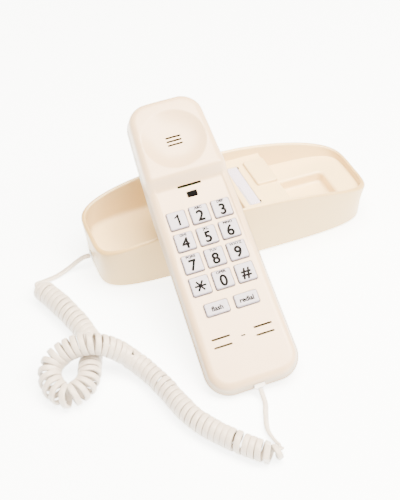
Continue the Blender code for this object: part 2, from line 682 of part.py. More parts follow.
def shell_surface(bm, rings, level, stations, columns):
    """Rings up from the seam and a grid over the face. Returns the ring at the seam."""
    n = len(stations)
    grid_inset = rings[-1][0]
    # positions round the boundary of the grid: (station, column) pairs
    boundary = [(0, c) for c in range(columns + 1)]
    boundary += [(s, columns) for s in range(1, n)]
    boundary += [(n - 1, c) for c in range(columns - 1, -1, -1)]
    boundary += [(s, 0) for s in range(n - 2, 0, -1)]

    def place(s, c, inset):
        half, y, nx, ny = stations[s]
        share = 2 * c / columns - 1
        return share * (half + nx * inset), y + ny * inset

    def ring(inset, height):
        made = []
        for s, c in boundary:
            x, y = place(s, c, inset)
            made.append(bm.verts.new((x, y, height(x, y))))
        return made

    loops = [ring(inset, height) for inset, height in rings]
    bridge_rings(bm, loops)
    inner = dict(zip(boundary, loops[-1]))
    for s in range(n):
        for c in range(columns + 1):
            if (s, c) not in inner:
                x, y = place(s, c, grid_inset)
                inner[(s, c)] = bm.verts.new((x, y, level(x, y)))
    for s in range(n - 1):
        for c in range(columns):
            bm.faces.new((inner[(s, c)], inner[(s, c + 1)], inner[(s + 1, c + 1)], inner[(s + 1, c)]))
    return loops[0]


def handset_shell(name, level, direction, fillet, slope, seam, parent, stations, columns):
    """One half of the handset: a wall from the seam to the filleted face, hollow inside."""
    mesh = bpy.data.meshes.new(name)
    bm = bmesh.new()

    def arc_rings(extra, thickness):
        rings = [(extra, lambda x, y: seam)]
        for angle in (0, 30, 60, 90):
            a = math.radians(angle)
            inset = extra + slope + (fillet - thickness) * (1 - math.cos(a))

            def height(x, y, a=a):
                depth = direction * (level(x, y) - seam)
                radius = min(fillet, 0.75 * depth) - thickness
                return level(x, y) - direction * (thickness + radius * (1 - math.sin(a)))

            rings.append((inset, height))
        return rings

    def inner_level(x, y):
        return level(x, y) - direction * SHELL

    outer = shell_surface(bm, arc_rings(0.0, 0.0), level, stations, columns)
    inner = shell_surface(bm, arc_rings(SHELL, SHELL), inner_level, stations, columns)
    bridge_rings(bm, [outer, inner])
    bmesh.ops.recalc_face_normals(bm, faces=bm.faces)
    bm.to_mesh(mesh)
    bm.free()
    shade(mesh, 30)
    return add_object(name, mesh, CREAM, parent)


DIGITS = ("1", "2", "3", "4", "5", "6", "7", "8", "9", "star", "0", "hash")


def key_places():
    """Name, x, y, width and depth of every key."""
    out = []
    for i, digit in enumerate(DIGITS):
        out.append((f"key_{digit}", (i % 3 - 1) * KEY_PITCH_X, -(i // 3) * KEY_PITCH_Y, KEY_SIZE, KEY_SIZE))
    for name, side in (("flash", -1), ("redial", 1)):
        out.append((f"key_{name}", side * FUNCTION_KEY_X, FUNCTION_KEY_Y, FUNCTION_KEY_WIDTH,
                    FUNCTION_KEY_DEPTH))
    return out


def slits():
    """Centre x, centre y and length of each sound slit."""
    out = [(0.0, CUP_Y + i * EAR_SLIT_PITCH, EAR_SLIT) for i in (-1, 0, 1)]
    for side in (-1, 1):
        for row in (-0.5, 0.5):
            out.append((side * MOUTH_SLIT_X, MOUTH_SLIT_Y + row * MOUTH_SLIT_PITCH, MOUTH_SLIT))
    out.append((0.0, MOUTH_SLIT_Y, 3.2 * MM))
    return out


RECEIVER_RADIUS = 15 * MM
RECEIVER_DEPTH = 8 * MM
FLANGE_TOP = -SHELL - GAP
FLANGE_LOW = FLANGE_TOP - 0.8 * MM
MAT_TOP = FLANGE_LOW - KEY_TRAVEL - GAP
BOARD_TOP = MAT_TOP - MAT_THICKNESS - GAP
SCREW_SPOTS = (80 * MM, -78.5 * MM)
HANDSET_BOSS = 3.2 * MM
SCREW_RECESS = 1.1 * MM           # the heads are sunk into the back by this
HANDSET_EXIT = PARTING + 1.2 * MM      # level of the cord's opening in the mouth end
HANDSET_JACK_FACE = MOUTH_END + SHELL + SIDE_SLOPE + 1.6 * MM


def build_handset(frame):
    stations = outline_stations(7.0 * MM, 4)
    front = handset_shell("handset_front_shell", face_level, 1, FACE_FILLET, SIDE_SLOPE,
                          PARTING, frame, stations, 10)
    rear = handset_shell("handset_rear_shell", back_level, -1, BACK_FILLET, 0.8 * MM,
                         PARTING - GAP, frame, stations, 8)
    place = frame_matrix()
    openings = []
    through = (-SHELL - 3 * MM, 6 * MM)
    for name, x, y, width, depth in key_places():
        openings.append(((x - width / 2 - KEY_GAP, y - depth / 2 - KEY_GAP, through[0]),
                         (x + width / 2 + KEY_GAP, y + depth / 2 + KEY_GAP, through[1])))
    openings.append(((-HOOK_WIDTH / 2 - GAP, HOOK_Y - HOOK_DEPTH / 2 - GAP, through[0]),
                     (HOOK_WIDTH / 2 + GAP, HOOK_Y + HOOK_DEPTH / 2 + GAP, through[1])))
    for x, y, length in slits():
        openings.append(((x - length / 2, y - SLIT_WIDTH / 2, through[0]),
                         (x + length / 2, y + SLIT_WIDTH / 2, EAR_BLOCK)))
    slot_width, slot_depth = STRIKE_SLOT
    openings.append(((-slot_width / 2, STEP_FOOT - slot_depth / 2, through[0]),
                     (slot_width / 2, STEP_FOOT + slot_depth / 2, through[1])))
    boolean(front, cutter_boxes("face_openings", openings, place))
    exit_hole = ((-PLUG_WIDTH / 2 - GAP, MOUTH_END - 2 * MM, HANDSET_EXIT - PLUG_HEIGHT / 2 - GAP),
                 (PLUG_WIDTH / 2 + GAP, MOUTH_END + 12 * MM, HANDSET_EXIT + PLUG_HEIGHT / 2 + GAP))
    exit_cutter = cutter_boxes("cord_exit", [exit_hole], place)
    boolean(front, exit_cutter)
    boolean(rear, exit_cutter)
    spots = [(0.0, y) for y in SCREW_SPOTS]
    for i, (x, y) in enumerate(spots):
        boss = cutter_cylinders(f"handset_boss_{i}", [(x, y)], HANDSET_BOSS, PARTING + GAP,
                                face_level(x, y) - SHELL / 2)
        boss.matrix_world = place
        boolean(front, boss, 'UNION')
        bore = cutter_cylinders(f"handset_bore_{i}", [(x, y)], SCREW_SHANK + GAP, PARTING - MM,
                                face_level(x, y) - SHELL - GAP)
        bore.matrix_world = place
        boolean(front, bore)
        back = back_level(x, y)
        seat = back + SCREW_RECESS
        hole = cutter_cylinders(f"handset_screw_hole_{i}", [(x, y)], SCREW_SHANK + GAP,
                                back - 3 * MM, back + 6 * MM)
        recess = cutter_cylinders(f"handset_screw_recess_{i}", [(x, y)], SCREW_HEAD + GAP,
                                  back - 3 * MM, seat, 20)
        for cutter in (hole, recess):
            cutter.matrix_world = place
            boolean(rear, cutter)
        top = face_level(x, y) - SHELL - 1.5 * MM
        low = seat - GAP - SCREW_HEAD_DEPTH
        profile = [(0.0, top), (SCREW_SHANK, top - MM), (SCREW_SHANK, seat - GAP),
                   (SCREW_HEAD, seat - GAP), (SCREW_HEAD * 0.8, low), (0.0, low)]
        turned(f"handset_screw_{i + 1}", profile, Matrix.Translation((x, y, 0)), STEEL, frame, steps=12)


def frame_matrix():
    return Matrix.Translation(HANDSET_PLACE) @ HANDSET_TURN.to_matrix().to_4x4()


def build_keys(frame):
    for name, x, y, width, depth in key_places():
        place = Matrix.Translation((x, y, 0))
        cap_low = FLANGE_TOP - 0.1 * MM
        cap_mesh = box_mesh(name, (width, depth, KEY_TOP - cap_low), (0, 0, (KEY_TOP + cap_low) / 2))
        cap = add_object(name, cap_mesh, KEY_WHITE, frame, place)
        flange_size = (width + 2 * KEY_FLANGE, depth + 2 * KEY_FLANGE, FLANGE_TOP - FLANGE_LOW)
        flange = add_object(name + "_flange", box_mesh(name + "_flange", flange_size,
                                                       (0, 0, (FLANGE_TOP + FLANGE_LOW) / 2)),
                            None, None, frame_matrix() @ place, CUTTERS)
        add_bevel(cap, 0.9 * MM, 2)
        boolean(cap, hide_cutter(flange), 'UNION')


def build_handset_inside(frame):
    half = KEY_PITCH_X + KEY_SIZE / 2 + 3 * MM
    mat_low = FUNCTION_KEY_Y - FUNCTION_KEY_DEPTH / 2 - 2 * MM
    box("keypad_mat", (-half, mat_low, MAT_TOP - MAT_THICKNESS), (half, KEY_SIZE / 2 + 1.5 * MM, MAT_TOP),
        RUBBER, frame, bevel=0.3 * MM, segments=1)
    board_low = SCREW_SPOTS[1] + HANDSET_BOSS + GAP
    box("circuit_board", (-half, board_low, BOARD_TOP - BOARD_THICKNESS),
        (half, STEP_FOOT + 8 * MM, BOARD_TOP), BOARD_GREEN, frame)
    switch_top = HOOK_TOP - KEY_TOP - HOOK_TRAVEL - SHELL
    box("hook_switch", (-7 * MM, HOOK_Y - 4 * MM, BOARD_TOP + GAP), (7 * MM, HOOK_Y + 4 * MM, switch_top),
        BLACK, frame, bevel=0.2 * MM, segments=1)
    box("hook_plunger", (-HOOK_WIDTH / 2, HOOK_Y - HOOK_DEPTH / 2, switch_top + HOOK_TRAVEL + GAP),
        (HOOK_WIDTH / 2, HOOK_Y + HOOK_DEPTH / 2, HOOK_TOP), BLACK, frame, bevel=0.4 * MM)

    cup_under = EAR_BLOCK - CUP_DEPTH - SHELL
    gasket_top = cup_under - GAP - 1.0 * MM
    gasket_low = gasket_top - 1.5 * MM
    ring = cylinder("receiver_gasket", RECEIVER_RADIUS, gasket_low, gasket_top, (0, CUP_Y), FOAM,
                    frame, sides=32)
    boolean(ring, ear_bore("gasket_bore", RECEIVER_RADIUS - 4 * MM, gasket_low - MM, gasket_top + MM))
    receiver_top = gasket_low - GAP
    cylinder("receiver", RECEIVER_RADIUS, receiver_top - RECEIVER_DEPTH, receiver_top, (0, CUP_Y), BLACK,
             frame, sides=32, bevel=0.8 * MM)
    mic_top = -SHELL - GAP
    boot = cylinder("microphone_boot", 6.6 * MM, mic_top - 5.6 * MM, mic_top, (0, MOUTH_SLIT_Y),
                    RUBBER, frame, sides=24)
    bore = cutter_cylinders("boot_bore", [(0, MOUTH_SLIT_Y)], 5.1 * MM, mic_top - 7 * MM,
                            mic_top + MM, 20)
    bore.matrix_world = frame_matrix()
    boolean(boot, bore)
    cylinder("microphone", 4.8 * MM, mic_top - 5.4 * MM, mic_top - 0.4 * MM, (0, MOUTH_SLIT_Y),
             STEEL, frame, sides=20, bevel=0.3 * MM)
    weight_low = PARTING - 10.5 * MM
    box("handset_weight", (-15 * MM, -38 * MM, weight_low), (15 * MM, 18 * MM, PARTING - 6 * MM), STEEL,
        frame, bevel=0.6 * MM, segments=1)

    jack_low = HANDSET_JACK_FACE
    body = box("handset_jack", (-JACK_WIDTH / 2, jack_low, HANDSET_EXIT - JACK_HEIGHT / 2),
               (JACK_WIDTH / 2, jack_low + JACK_DEPTH, HANDSET_EXIT + JACK_HEIGHT / 2), BLACK, frame)
    hole = ((-PLUG_WIDTH / 2 - GAP, jack_low - MM, HANDSET_EXIT - PLUG_HEIGHT / 2 - GAP),
            (PLUG_WIDTH / 2 + GAP, jack_low + PLUG_LENGTH + GAP, HANDSET_EXIT + PLUG_HEIGHT / 2 + GAP))
    boolean(body, cutter_boxes("handset_socket", [hole], frame_matrix()))


def ear_bore(name, radius, low, high):
    bore = cutter_cylinders(name, [(0, CUP_Y)], radius, low, high, 28)
    bore.matrix_world = frame_matrix()
    return bore


# ---- cord -----------------------------------------------------------------------------------
BASE_TAIL = ((-109.3, 4, 9.5), (-113.5, 4.1, 9.4), (-119, 4.2, 7.0), (-126, 3.2, 3.6), (-136, 0, 2.0),
             (-146, -2.6, 2.6), (-152.4, -6.4, 5.6), (-153.5, -11.0, 7.3))
COIL_ROUTE = ((-153, -12, 7.7), (-149, -22, 7.7), (-144, -35, 7.7), (-139, -50, 7.7), (-134.6, -66, 7.7),
              (-132.4, -82, 7.7), (-134, -96, 7.7), (-141, -108, 7.7), (-152, -116.5, 7.7),
              (-164, -118, 7.7), (-172, -109, 7.9), (-170.5, -98, 10), (-161, -91, 15), (-148, -91, 21),
              (-135, -94.6, 23.2), (-123, -99.5, 18.5), (-113, -107, 11.5), (-105.6, -119, 7.9),
              (-100.4, -134, 7.7), (-96.4, -150, 7.7), (-91.6, -165, 7.7), (-84.4, -178, 7.7),
              (-75.6, -190, 7.7), (-66.5, -200.5, 7.7), (-61, -206, 7.7))
HANDSET_TAIL = ((-60.4, -206.6, 7.5), (-55, -209.6, 6.6), (-49.6, -206.6, 4.6), (-49.8, -199, 3.0),
                (-50.2, -188, 2.0), (-46.6, -177, 2.0), (-43.2, -169, 2.3), (-42.2, -162.4, 3.5),
                (-42.06, -158.65, 5.7))


def scaled(route):
    return [Vector(p) * MM for p in route]


def build_cord(frame):
    box("base_cord_plug",
        (-BASE_LENGTH / 2 + 1.2 * MM, CORD_JACK_Y - PLUG_WIDTH / 2, CORD_JACK_Z - PLUG_HEIGHT / 2),
        (-JACK_FACE + PLUG_LENGTH - GAP, CORD_JACK_Y + PLUG_WIDTH / 2, CORD_JACK_Z + PLUG_HEIGHT / 2),
        CLEAR, bevel=0.4 * MM, segments=1)
    box("handset_cord_plug", (-PLUG_WIDTH / 2, MOUTH_END - MM, HANDSET_EXIT - PLUG_HEIGHT / 2),
        (PLUG_WIDTH / 2, HANDSET_JACK_FACE + PLUG_LENGTH - GAP, HANDSET_EXIT + PLUG_HEIGHT / 2), CLEAR,
        frame, bevel=0.4 * MM, segments=1)
    tube("cord_tail_base", smooth_route(scaled(BASE_TAIL), 4.5 * MM), CORD_RADIUS, CORD_VINYL)
    tube("cord_coil", smooth_route(scaled(COIL_ROUTE), 7 * MM), COIL_RADIUS, CORD_VINYL, 3)
    tube("cord_tail_handset", smooth_route(scaled(HANDSET_TAIL), 4.5 * MM), CORD_RADIUS, CORD_VINYL)


def main():
    frame = bpy.data.objects.new("handset_frame", None)
    PARTS.objects.link(frame)
    frame.location = HANDSET_PLACE
    frame.rotation_euler = HANDSET_TURN
    build_base()
    build_base_fittings()
    build_handset(frame)
    build_keys(frame)
    build_handset_inside(frame)
    build_cord(frame)


main()
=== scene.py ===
"""Looks of the slimline telephone: a boat shaped base, a handset lying across it and a curly cord."""
import math

import bmesh
import bpy
from mathutils import Euler, Matrix, Vector


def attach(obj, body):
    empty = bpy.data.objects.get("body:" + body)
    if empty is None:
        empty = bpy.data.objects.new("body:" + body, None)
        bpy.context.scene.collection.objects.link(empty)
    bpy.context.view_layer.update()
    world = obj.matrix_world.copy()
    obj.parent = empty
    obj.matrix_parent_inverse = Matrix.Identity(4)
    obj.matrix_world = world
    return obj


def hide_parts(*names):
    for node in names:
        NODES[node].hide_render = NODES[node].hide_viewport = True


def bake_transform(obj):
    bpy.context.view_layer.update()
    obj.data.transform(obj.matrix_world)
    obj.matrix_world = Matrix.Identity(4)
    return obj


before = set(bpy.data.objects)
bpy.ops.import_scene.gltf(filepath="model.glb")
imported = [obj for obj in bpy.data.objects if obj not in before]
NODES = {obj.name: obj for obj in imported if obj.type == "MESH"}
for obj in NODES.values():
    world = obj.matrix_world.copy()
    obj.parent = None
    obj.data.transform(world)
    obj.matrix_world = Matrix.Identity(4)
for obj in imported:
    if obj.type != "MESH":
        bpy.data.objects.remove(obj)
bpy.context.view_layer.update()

MM = 0.001

# ---- sizes shared with the solid model ---------------------------------------------------------
BASE_LENGTH, BASE_WIDTH, BASE_CORNER = 220 * MM, 74 * MM, 5.0
RIM_MIDDLE, RIM_END, RIM_TILT = 50.7 * MM, 33 * MM, 1.5 * MM
BASE_WALL, SIDE_DRAFT, END_DRAFT = 3.2 * MM, 3.5 * MM, 2.5 * MM
FOOT_HEIGHT, TRAY_FLOOR, EAR_FLOOR, FLOOR_WALL = 1.5 * MM, 18 * MM, 27 * MM, 2.4 * MM
BRIDGE_LEFT, BRIDGE_RIGHT, BRIDGE_TOP = 5 * MM, 41.5 * MM, 41.5 * MM
PAD_LEFT, PAD_FRONT, PAD_BACK, PAD_HEIGHT = 24 * MM, -5 * MM, 25 * MM, 2.4 * MM
POCKET_LEFT, POCKET_RIGHT, POCKET_FRONT, POCKET_BACK = 44 * MM, 86 * MM, -22 * MM, 9 * MM
CARD_LENGTH, CARD_WIDTH, CARD_X, CARD_SEAT = 47 * MM, 8.8 * MM, 14 * MM, 1.3 * MM
SCREW_X, SCREW_Y, BOSS_RADIUS, SCREW_SHANK = 62 * MM, 22 * MM, 3.6 * MM, 1.3 * MM
COVER_TOP = 3.8 * MM
NOTCH_OUT, NOTCH_IN, NOTCH_DEEP = 4.7 * MM, 2.0 * MM, 2.0 * MM    # beside and inside the card's corners
NOTCH_WIDTH, NOTCH_LENGTH = 1.6 * MM, 2.6 * MM
CORD_PLUG_PLACE = (-BASE_LENGTH / 2 + 5.5 * MM, 4 * MM, 9.5 * MM)
KNOB_SLOT_PLACE = (40 * MM, BASE_WIDTH / 2 - 1.5 * MM, 12 * MM)

HANDSET_TILT = Euler([math.radians(a) for a in (27.25, -5.25, -3.9)], 'XYZ')
HANDSET = Matrix.Translation((-40.6 * MM, -49.4 * MM, 69.5 * MM)) @ HANDSET_TILT.to_matrix().to_4x4()
EAR_END, MOUTH_END = 93.5 * MM, -125 * MM
EAR_HALF, MIDDLE_HALF, MOUTH_HALF = 28.8 * MM, 31.6 * MM, 32.8 * MM
EAR_CORNER, MOUTH_CORNER = 17 * MM, 17 * MM
PARTING, SHELL, GAP = -8 * MM, 2.1 * MM, 0.3 * MM
FACE_FILLET, SIDE_SLOPE, BACK_FILLET = 5.6 * MM, 1.4 * MM, 7 * MM
EAR_BLOCK, STEP_FOOT, STEP_HEAD = 8 * MM, 23.5 * MM, 32 * MM
CUP_Y, CUP_RADIUS, CUP_DEPTH = 58 * MM, 23.5 * MM, 5 * MM
BACK_MOUTH, BACK_MIDDLE, BACK_EAR = -15 * MM, -24 * MM, -25 * MM
PITCH_X, PITCH_Y, KEY_SIZE, KEY_TOP = 16.2 * MM, 16.5 * MM, 13.2 * MM, 1.7 * MM
KEY_GAP = 0.45 * MM
HOOK_Y, HOOK_SIZE = 16.5 * MM, (7 * MM, 4 * MM)
SLIT_WIDTH = 1.3 * MM
EAR_SLITS, EAR_SLIT_PITCH, EAR_SLIT_LENGTH = 3, 3.0 * MM, 11.3 * MM
MOUTH_SLIT_X, MOUTH_SLIT_Y, MOUTH_SLIT_PITCH, MOUTH_SLIT_LENGTH = 14.8 * MM, -90.5 * MM, 5.7 * MM, 12.9 * MM
STRIKE_SLOT = (0.0, STEP_FOOT, 17.5 * MM, 1.7 * MM)
DOT_SLOT = (0.0, MOUTH_SLIT_Y, 3.2 * MM, 1.0 * MM)
PLUG_WIDTH, PLUG_HEIGHT = 7.6 * MM, 5.0 * MM
HANDSET_EXIT = PARTING + 1.2 * MM
SCREW_SPOTS = (80 * MM, -78.5 * MM)

# ---- cord ----------------------------------------------------------------------------------------
BASE_TAIL = ((-109.3, 4, 9.5), (-113.5, 4.1, 9.4), (-119, 4.2, 7.0), (-126, 3.2, 3.6), (-136, 0, 2.0),
             (-146, -2.6, 2.6), (-152.4, -6.4, 5.6), (-153.5, -11.0, 7.3))
COIL_ROUTE = ((-153, -12, 7.7), (-149, -22, 7.7), (-144, -35, 7.7), (-139, -50, 7.7), (-134.6, -66, 7.7),
              (-132.4, -82, 7.7), (-134, -96, 7.7), (-141, -108, 7.7), (-152, -116.5, 7.7),
              (-164, -118, 7.7), (-172, -109, 7.9), (-170.5, -98, 10), (-161, -91, 15), (-148, -91, 21),
              (-135, -94.6, 23.2), (-123, -99.5, 18.5), (-113, -107, 11.5), (-105.6, -119, 7.9),
              (-100.4, -134, 7.7), (-96.4, -150, 7.7), (-91.6, -165, 7.7), (-84.4, -178, 7.7),
              (-75.6, -190, 7.7), (-66.5, -200.5, 7.7), (-61, -206, 7.7))
HANDSET_TAIL = ((-60.4, -206.6, 7.5), (-55, -209.6, 6.6), (-49.6, -206.6, 4.6), (-49.8, -199, 3.0),
                (-50.2, -188, 2.0), (-46.6, -177, 2.0), (-43.2, -169, 2.3), (-42.2, -162.4, 3.5),
                (-42.06, -158.65, 5.7))
COIL_RADIUS = 6.0 * MM             # from the coil's axis to the middle of the cord
COIL_PITCH = 4.4 * MM
CORD_WIDTH, CORD_THICKNESS = 4.1 * MM, 2.3 * MM
COIL_END_Y = -203.5 * MM           # the last turns die out in the tail as far as this


# ---- materials -----------------------------------------------------------------------------------
class Value:
    """A shader socket that takes part in sums."""

    def __init__(self, finish, socket):
        self.finish, self.socket = finish, socket

    def sum(self, operation, other, flipped=False):
        pair = (other, self) if flipped else (self, other)
        return self.finish.node("ShaderNodeMath", {"operation": operation}, {0: pair[0], 1: pair[1]})

    def __add__(self, other):
        return self.sum('ADD', other)

    def __radd__(self, other):
        return self.sum('ADD', other, True)

    def __sub__(self, other):
        return self.sum('SUBTRACT', other)

    def __rsub__(self, other):
        return self.sum('SUBTRACT', other, True)

    def __mul__(self, other):
        return self.sum('MULTIPLY', other)

    def __rmul__(self, other):
        return self.sum('MULTIPLY', other, True)


class Finish:
    """One material and the ways to add nodes to it."""

    def __init__(self, name, roughness=0.4, metallic=0.0, **fixed):
        self.material = bpy.data.materials.new(name)
        self.material.use_nodes = True
        self.tree = self.material.node_tree
        self.shader = self.tree.nodes["Principled BSDF"]
        self.shader.inputs["Roughness"].default_value = roughness
        self.shader.inputs["Metallic"].default_value = metallic
        for socket, value in fixed.items():
            self.shader.inputs[socket.replace("_", " ")].default_value = value
        self.place = self.node("ShaderNodeTexCoord", out="Object")

    def node(self, kind, settings=None, inputs=None, out=0):
        made = self.tree.nodes.new(kind)
        for key, value in (settings or {}).items():
            setattr(made, key, value)
        for key, value in (inputs or {}).items():
            if isinstance(value, Value):
                self.tree.links.new(value.socket, made.inputs[key])
            else:
                made.inputs[key].default_value = value
        return Value(self, made.outputs[out])

    def noise(self, scale, detail=3.0, rough=0.55, stretch=None):
        where = self.place
        if stretch:
            where = self.node("ShaderNodeMapping", None, {"Vector": where, "Scale": stretch}, "Vector")
        return self.node("ShaderNodeTexNoise", None,
                         {"Vector": where, "Scale": scale, "Detail": detail, "Roughness": rough}, "Fac")

    def between(self, value, low, high):
        """0 below low, 1 above high, smooth between them."""
        return self.node("ShaderNodeMapRange", {"interpolation_type": 'SMOOTHSTEP'},
                         {"Value": value, "From Min": low, "From Max": high}, "Result")

    def mix(self, share, first, second):
        def colour(c):
            return c if isinstance(c, Value) else (*c, 1.0)
        return self.node("ShaderNodeMix", {"data_type": 'RGBA'},
                         {0: share, 6: colour(first), 7: colour(second)}, 2)

    def math(self, operation, first, second=0.0):
        return self.node("ShaderNodeMath", {"operation": operation}, {0: first, 1: second})

    def axes(self):
        parts = self.tree.nodes.new("ShaderNodeSeparateXYZ")
        self.tree.links.new(self.place.socket, parts.inputs[0])
        return [Value(self, out) for out in parts.outputs]

    def into(self, socket, value):
        self.tree.links.new(value.socket, self.shader.inputs[socket])

    def bump(self, height, distance, strength=1.0, edge=0.0):
        inputs = {"Height": height, "Distance": distance, "Strength": strength}
        if edge:
            inputs["Normal"] = self.node("ShaderNodeBevel", {"samples": 4}, {"Radius": edge})
        self.into("Normal", self.node("ShaderNodeBump", None, inputs, "Normal"))


def outer_wall(f):
    """Painted shade mask: 1 on the base's outer wall, fading over the rim to 0 inside; the darker tone there
    stands in for the wall's shade.
    """
    x, y, z = f.axes()
    rise = (z - FOOT_HEIGHT) * (1 / (RIM_MIDDLE - FOOT_HEIGHT)) - 1.0
    half_length = BASE_LENGTH / 2 + rise * END_DRAFT
    half_width = BASE_WIDTH / 2 + rise * SIDE_DRAFT
    along = f.math('POWER', f.math('DIVIDE', f.math('ABSOLUTE', x), half_length), BASE_CORNER)
    across = f.math('POWER', f.math('DIVIDE', f.math('ABSOLUTE', y), half_width), BASE_CORNER)
    aged_and_shaded = 1.0 - f.between(x, -70 * MM, 30 * MM)    # painted shade, deepest towards the cord end
    return f.between(along + across, 0.78, 0.97) * (0.86 + aged_and_shaded * 0.14)


def below_face(f):
    """Painted shade mask: 0 on the handset's face, 1 down its sides and on its back, where the darker tone
    stands in for their shade.
    """
    x, y, z = f.axes()
    out = HANDSET.col[2]
    level = x * out.x + y * out.y + z * out.z - HANDSET.translation.dot(out.to_3d())
    return 1.0 - f.between(level, -4.6 * MM, -0.9 * MM)


def moulded(name, colour, aged_and_shaded, dusty, roughness, edge=0.0, grain=0.035 * MM, coat=0.15,
            shade_mask=None, wear_and_shade=None):
    """Moulded plastic: uneven tone, scuffs, a fine grain and a painted shade tone where the shade mask lies.
    """
    f = Finish(name, roughness, Coat_Weight=coat, Coat_Roughness=0.25)
    drift = f.between(f.noise(14.0, 3.0), 0.35, 0.68)
    cloud = f.between(f.noise(85.0, 4.0, 0.62), 0.42, 0.75)
    speck = f.between(f.noise(620.0, 2.0), 0.66, 0.78)
    tone = f.mix(drift * 0.8, colour, aged_and_shaded)
    tone = f.mix(cloud * 0.22, tone, dusty)
    # painted shade: the darker tone where the mask lies stands in for the shade down sides and walls
    if shade_mask:
        tone = f.mix(shade_mask(f) * 0.95, tone, wear_and_shade)
    f.into("Base Color", f.mix(speck * 0.25, tone, dusty))
    scuff = f.between(f.noise(160.0, 5.0, 0.7, stretch=(1.0, 0.35, 1.0)), 0.55, 0.72)
    f.into("Roughness", roughness - 0.04 + cloud * 0.07 + scuff * 0.09)
    f.bump(f.noise(1500.0, 2.0) + f.noise(240.0, 2.0) * 0.6, grain, 0.5, edge)
    return f.material


def key_plastic():
    """Grey-white glossy caps, a touch cooler than the shells, with a faint mottling."""
    f = Finish("key_plastic_fine", 0.24, Coat_Weight=0.5, Coat_Roughness=0.08)
    patch = f.between(f.noise(120.0, 3.0), 0.4, 0.7)
    rub = f.between(f.noise(480.0, 4.0, 0.65), 0.55, 0.75)
    tone = f.mix(patch * 0.6, (0.215, 0.205, 0.27), (0.24, 0.228, 0.295))
    f.into("Base Color", f.mix(rub * 0.2, tone, (0.20, 0.19, 0.24)))
    f.into("Roughness", 0.22 + rub * 0.12 + patch * 0.04)
    f.bump(f.noise(900.0, 2.0), 0.02 * MM, 0.35, 0.3 * MM)
    return f.material


def ink():
    """Flat black print, rubbed a little grey."""
    f = Finish("key_ink", 0.7, Specular_IOR_Level=0.04)
    wear_and_shade = f.between(f.noise(1900.0, 3.0), 0.5, 0.8)
    f.into("Base Color", f.mix(wear_and_shade * 0.5, (0.003, 0.003, 0.0035), (0.012, 0.012, 0.013)))
    f.into("Roughness", 0.65 + wear_and_shade * 0.2)
    f.bump(f.noise(2500.0, 2.0), 0.008 * MM, 0.4)
    return f.material


def cord_vinyl():
    """Soft vinyl jacket: satin, slightly greyed, with a fine grain."""
    f = Finish("cord_vinyl_fine", 0.42, Coat_Weight=0.1, Coat_Roughness=0.35)
    drift = f.between(f.noise(22.0, 3.0), 0.35, 0.7)
    grime = f.between(f.noise(260.0, 4.0, 0.65), 0.5, 0.75)
    tone = f.mix(drift, (0.52, 0.46, 0.395), (0.49, 0.43, 0.375))
    f.into("Base Color", f.mix(grime * 0.3, tone, (0.42, 0.37, 0.315)))
    f.into("Roughness", 0.38 + grime * 0.14)
    f.bump(f.noise(1300.0, 3.0), 0.03 * MM, 0.4)
    return f.material


def card_stock():
    """Index card: fibrous pale lavender-white with one painted shadow line along it, near its edge where the
    window's gap shades it.
    """
    f = Finish("card_fine", 0.75)
    fibre = f.noise(900.0, 5.0, 0.7, stretch=(1.0, 0.3, 1.0))
    x, y, _ = f.axes()
    off = f.math('ABSOLUTE', x - (CARD_X - CARD_WIDTH * 0.36))
    # painted shadow: a dark line over the card's front half, standing in for the shade of the gap beside the
    # window
    gap_shadow = (1.0 - f.between(off, 0.4 * MM, 0.6 * MM)) * (1.0 - f.between(y, 1 * MM, 3 * MM))
    tone = f.mix(fibre, (0.39, 0.32, 0.53), (0.425, 0.35, 0.57))
    f.into("Base Color", f.mix(gap_shadow * 0.9, tone, (0.07, 0.065, 0.09)))
    f.bump(fibre, 0.03 * MM, 0.5)
    return f.material


def clear_plastic(name, tint, alpha):
    """See-through plastic with fine scratches along it."""
    f = Finish(name, 0.08, IOR=1.5)
    scratch = f.between(f.noise(420.0, 5.0, 0.7, stretch=(1.0, 0.1, 1.0)), 0.55, 0.7)
    f.into("Base Color", f.mix(scratch * 0.4, tint, tuple(c * 0.9 for c in tint)))
    f.into("Roughness", 0.06 + scratch * 0.18)
    f.into("Alpha", alpha + scratch * 0.08)
    f.bump(f.noise(300.0, 2.0), 0.02 * MM, 0.3, 0.2 * MM)
    return f.material


def mottled(name, colour, other, roughness, grain=600.0, depth=0.05 * MM, edge=0.0, metallic=0.0,
            stretch=None, gloss=0.5):
    """A two-tone mottled finish for the hardware and the inner parts."""
    f = Finish(name, roughness, metallic, Specular_IOR_Level=gloss)
    patch = f.between(f.noise(grain * 0.25, 4.0, 0.6, stretch=stretch), 0.35, 0.7)
    f.into("Base Color", f.mix(patch, colour, other))
    f.into("Roughness", roughness - 0.05 + patch * 0.12)
    f.bump(f.noise(grain, 3.0, stretch=stretch), depth, 0.5, edge)
    return f.material


def board_finish():
    """Green solder mask with copper tracks showing through."""
    f = Finish("circuit_board_fine", 0.35)
    track = f.node("ShaderNodeTexVoronoi", {"feature": 'DISTANCE_TO_EDGE', "distance": 'CHEBYCHEV'},
                   {"Vector": f.place, "Scale": 260.0}, "Distance")
    line = 1.0 - f.between(track, 0.03, 0.06)
    tone = f.mix(f.noise(300.0), (0.012, 0.05, 0.022), (0.02, 0.075, 0.032))
    f.into("Base Color", f.mix(line * 0.6, tone, (0.04, 0.12, 0.045)))
    f.into("Roughness", 0.32 + line * 0.1)
    f.bump(line, 0.03 * MM, 0.6)
    return f.material
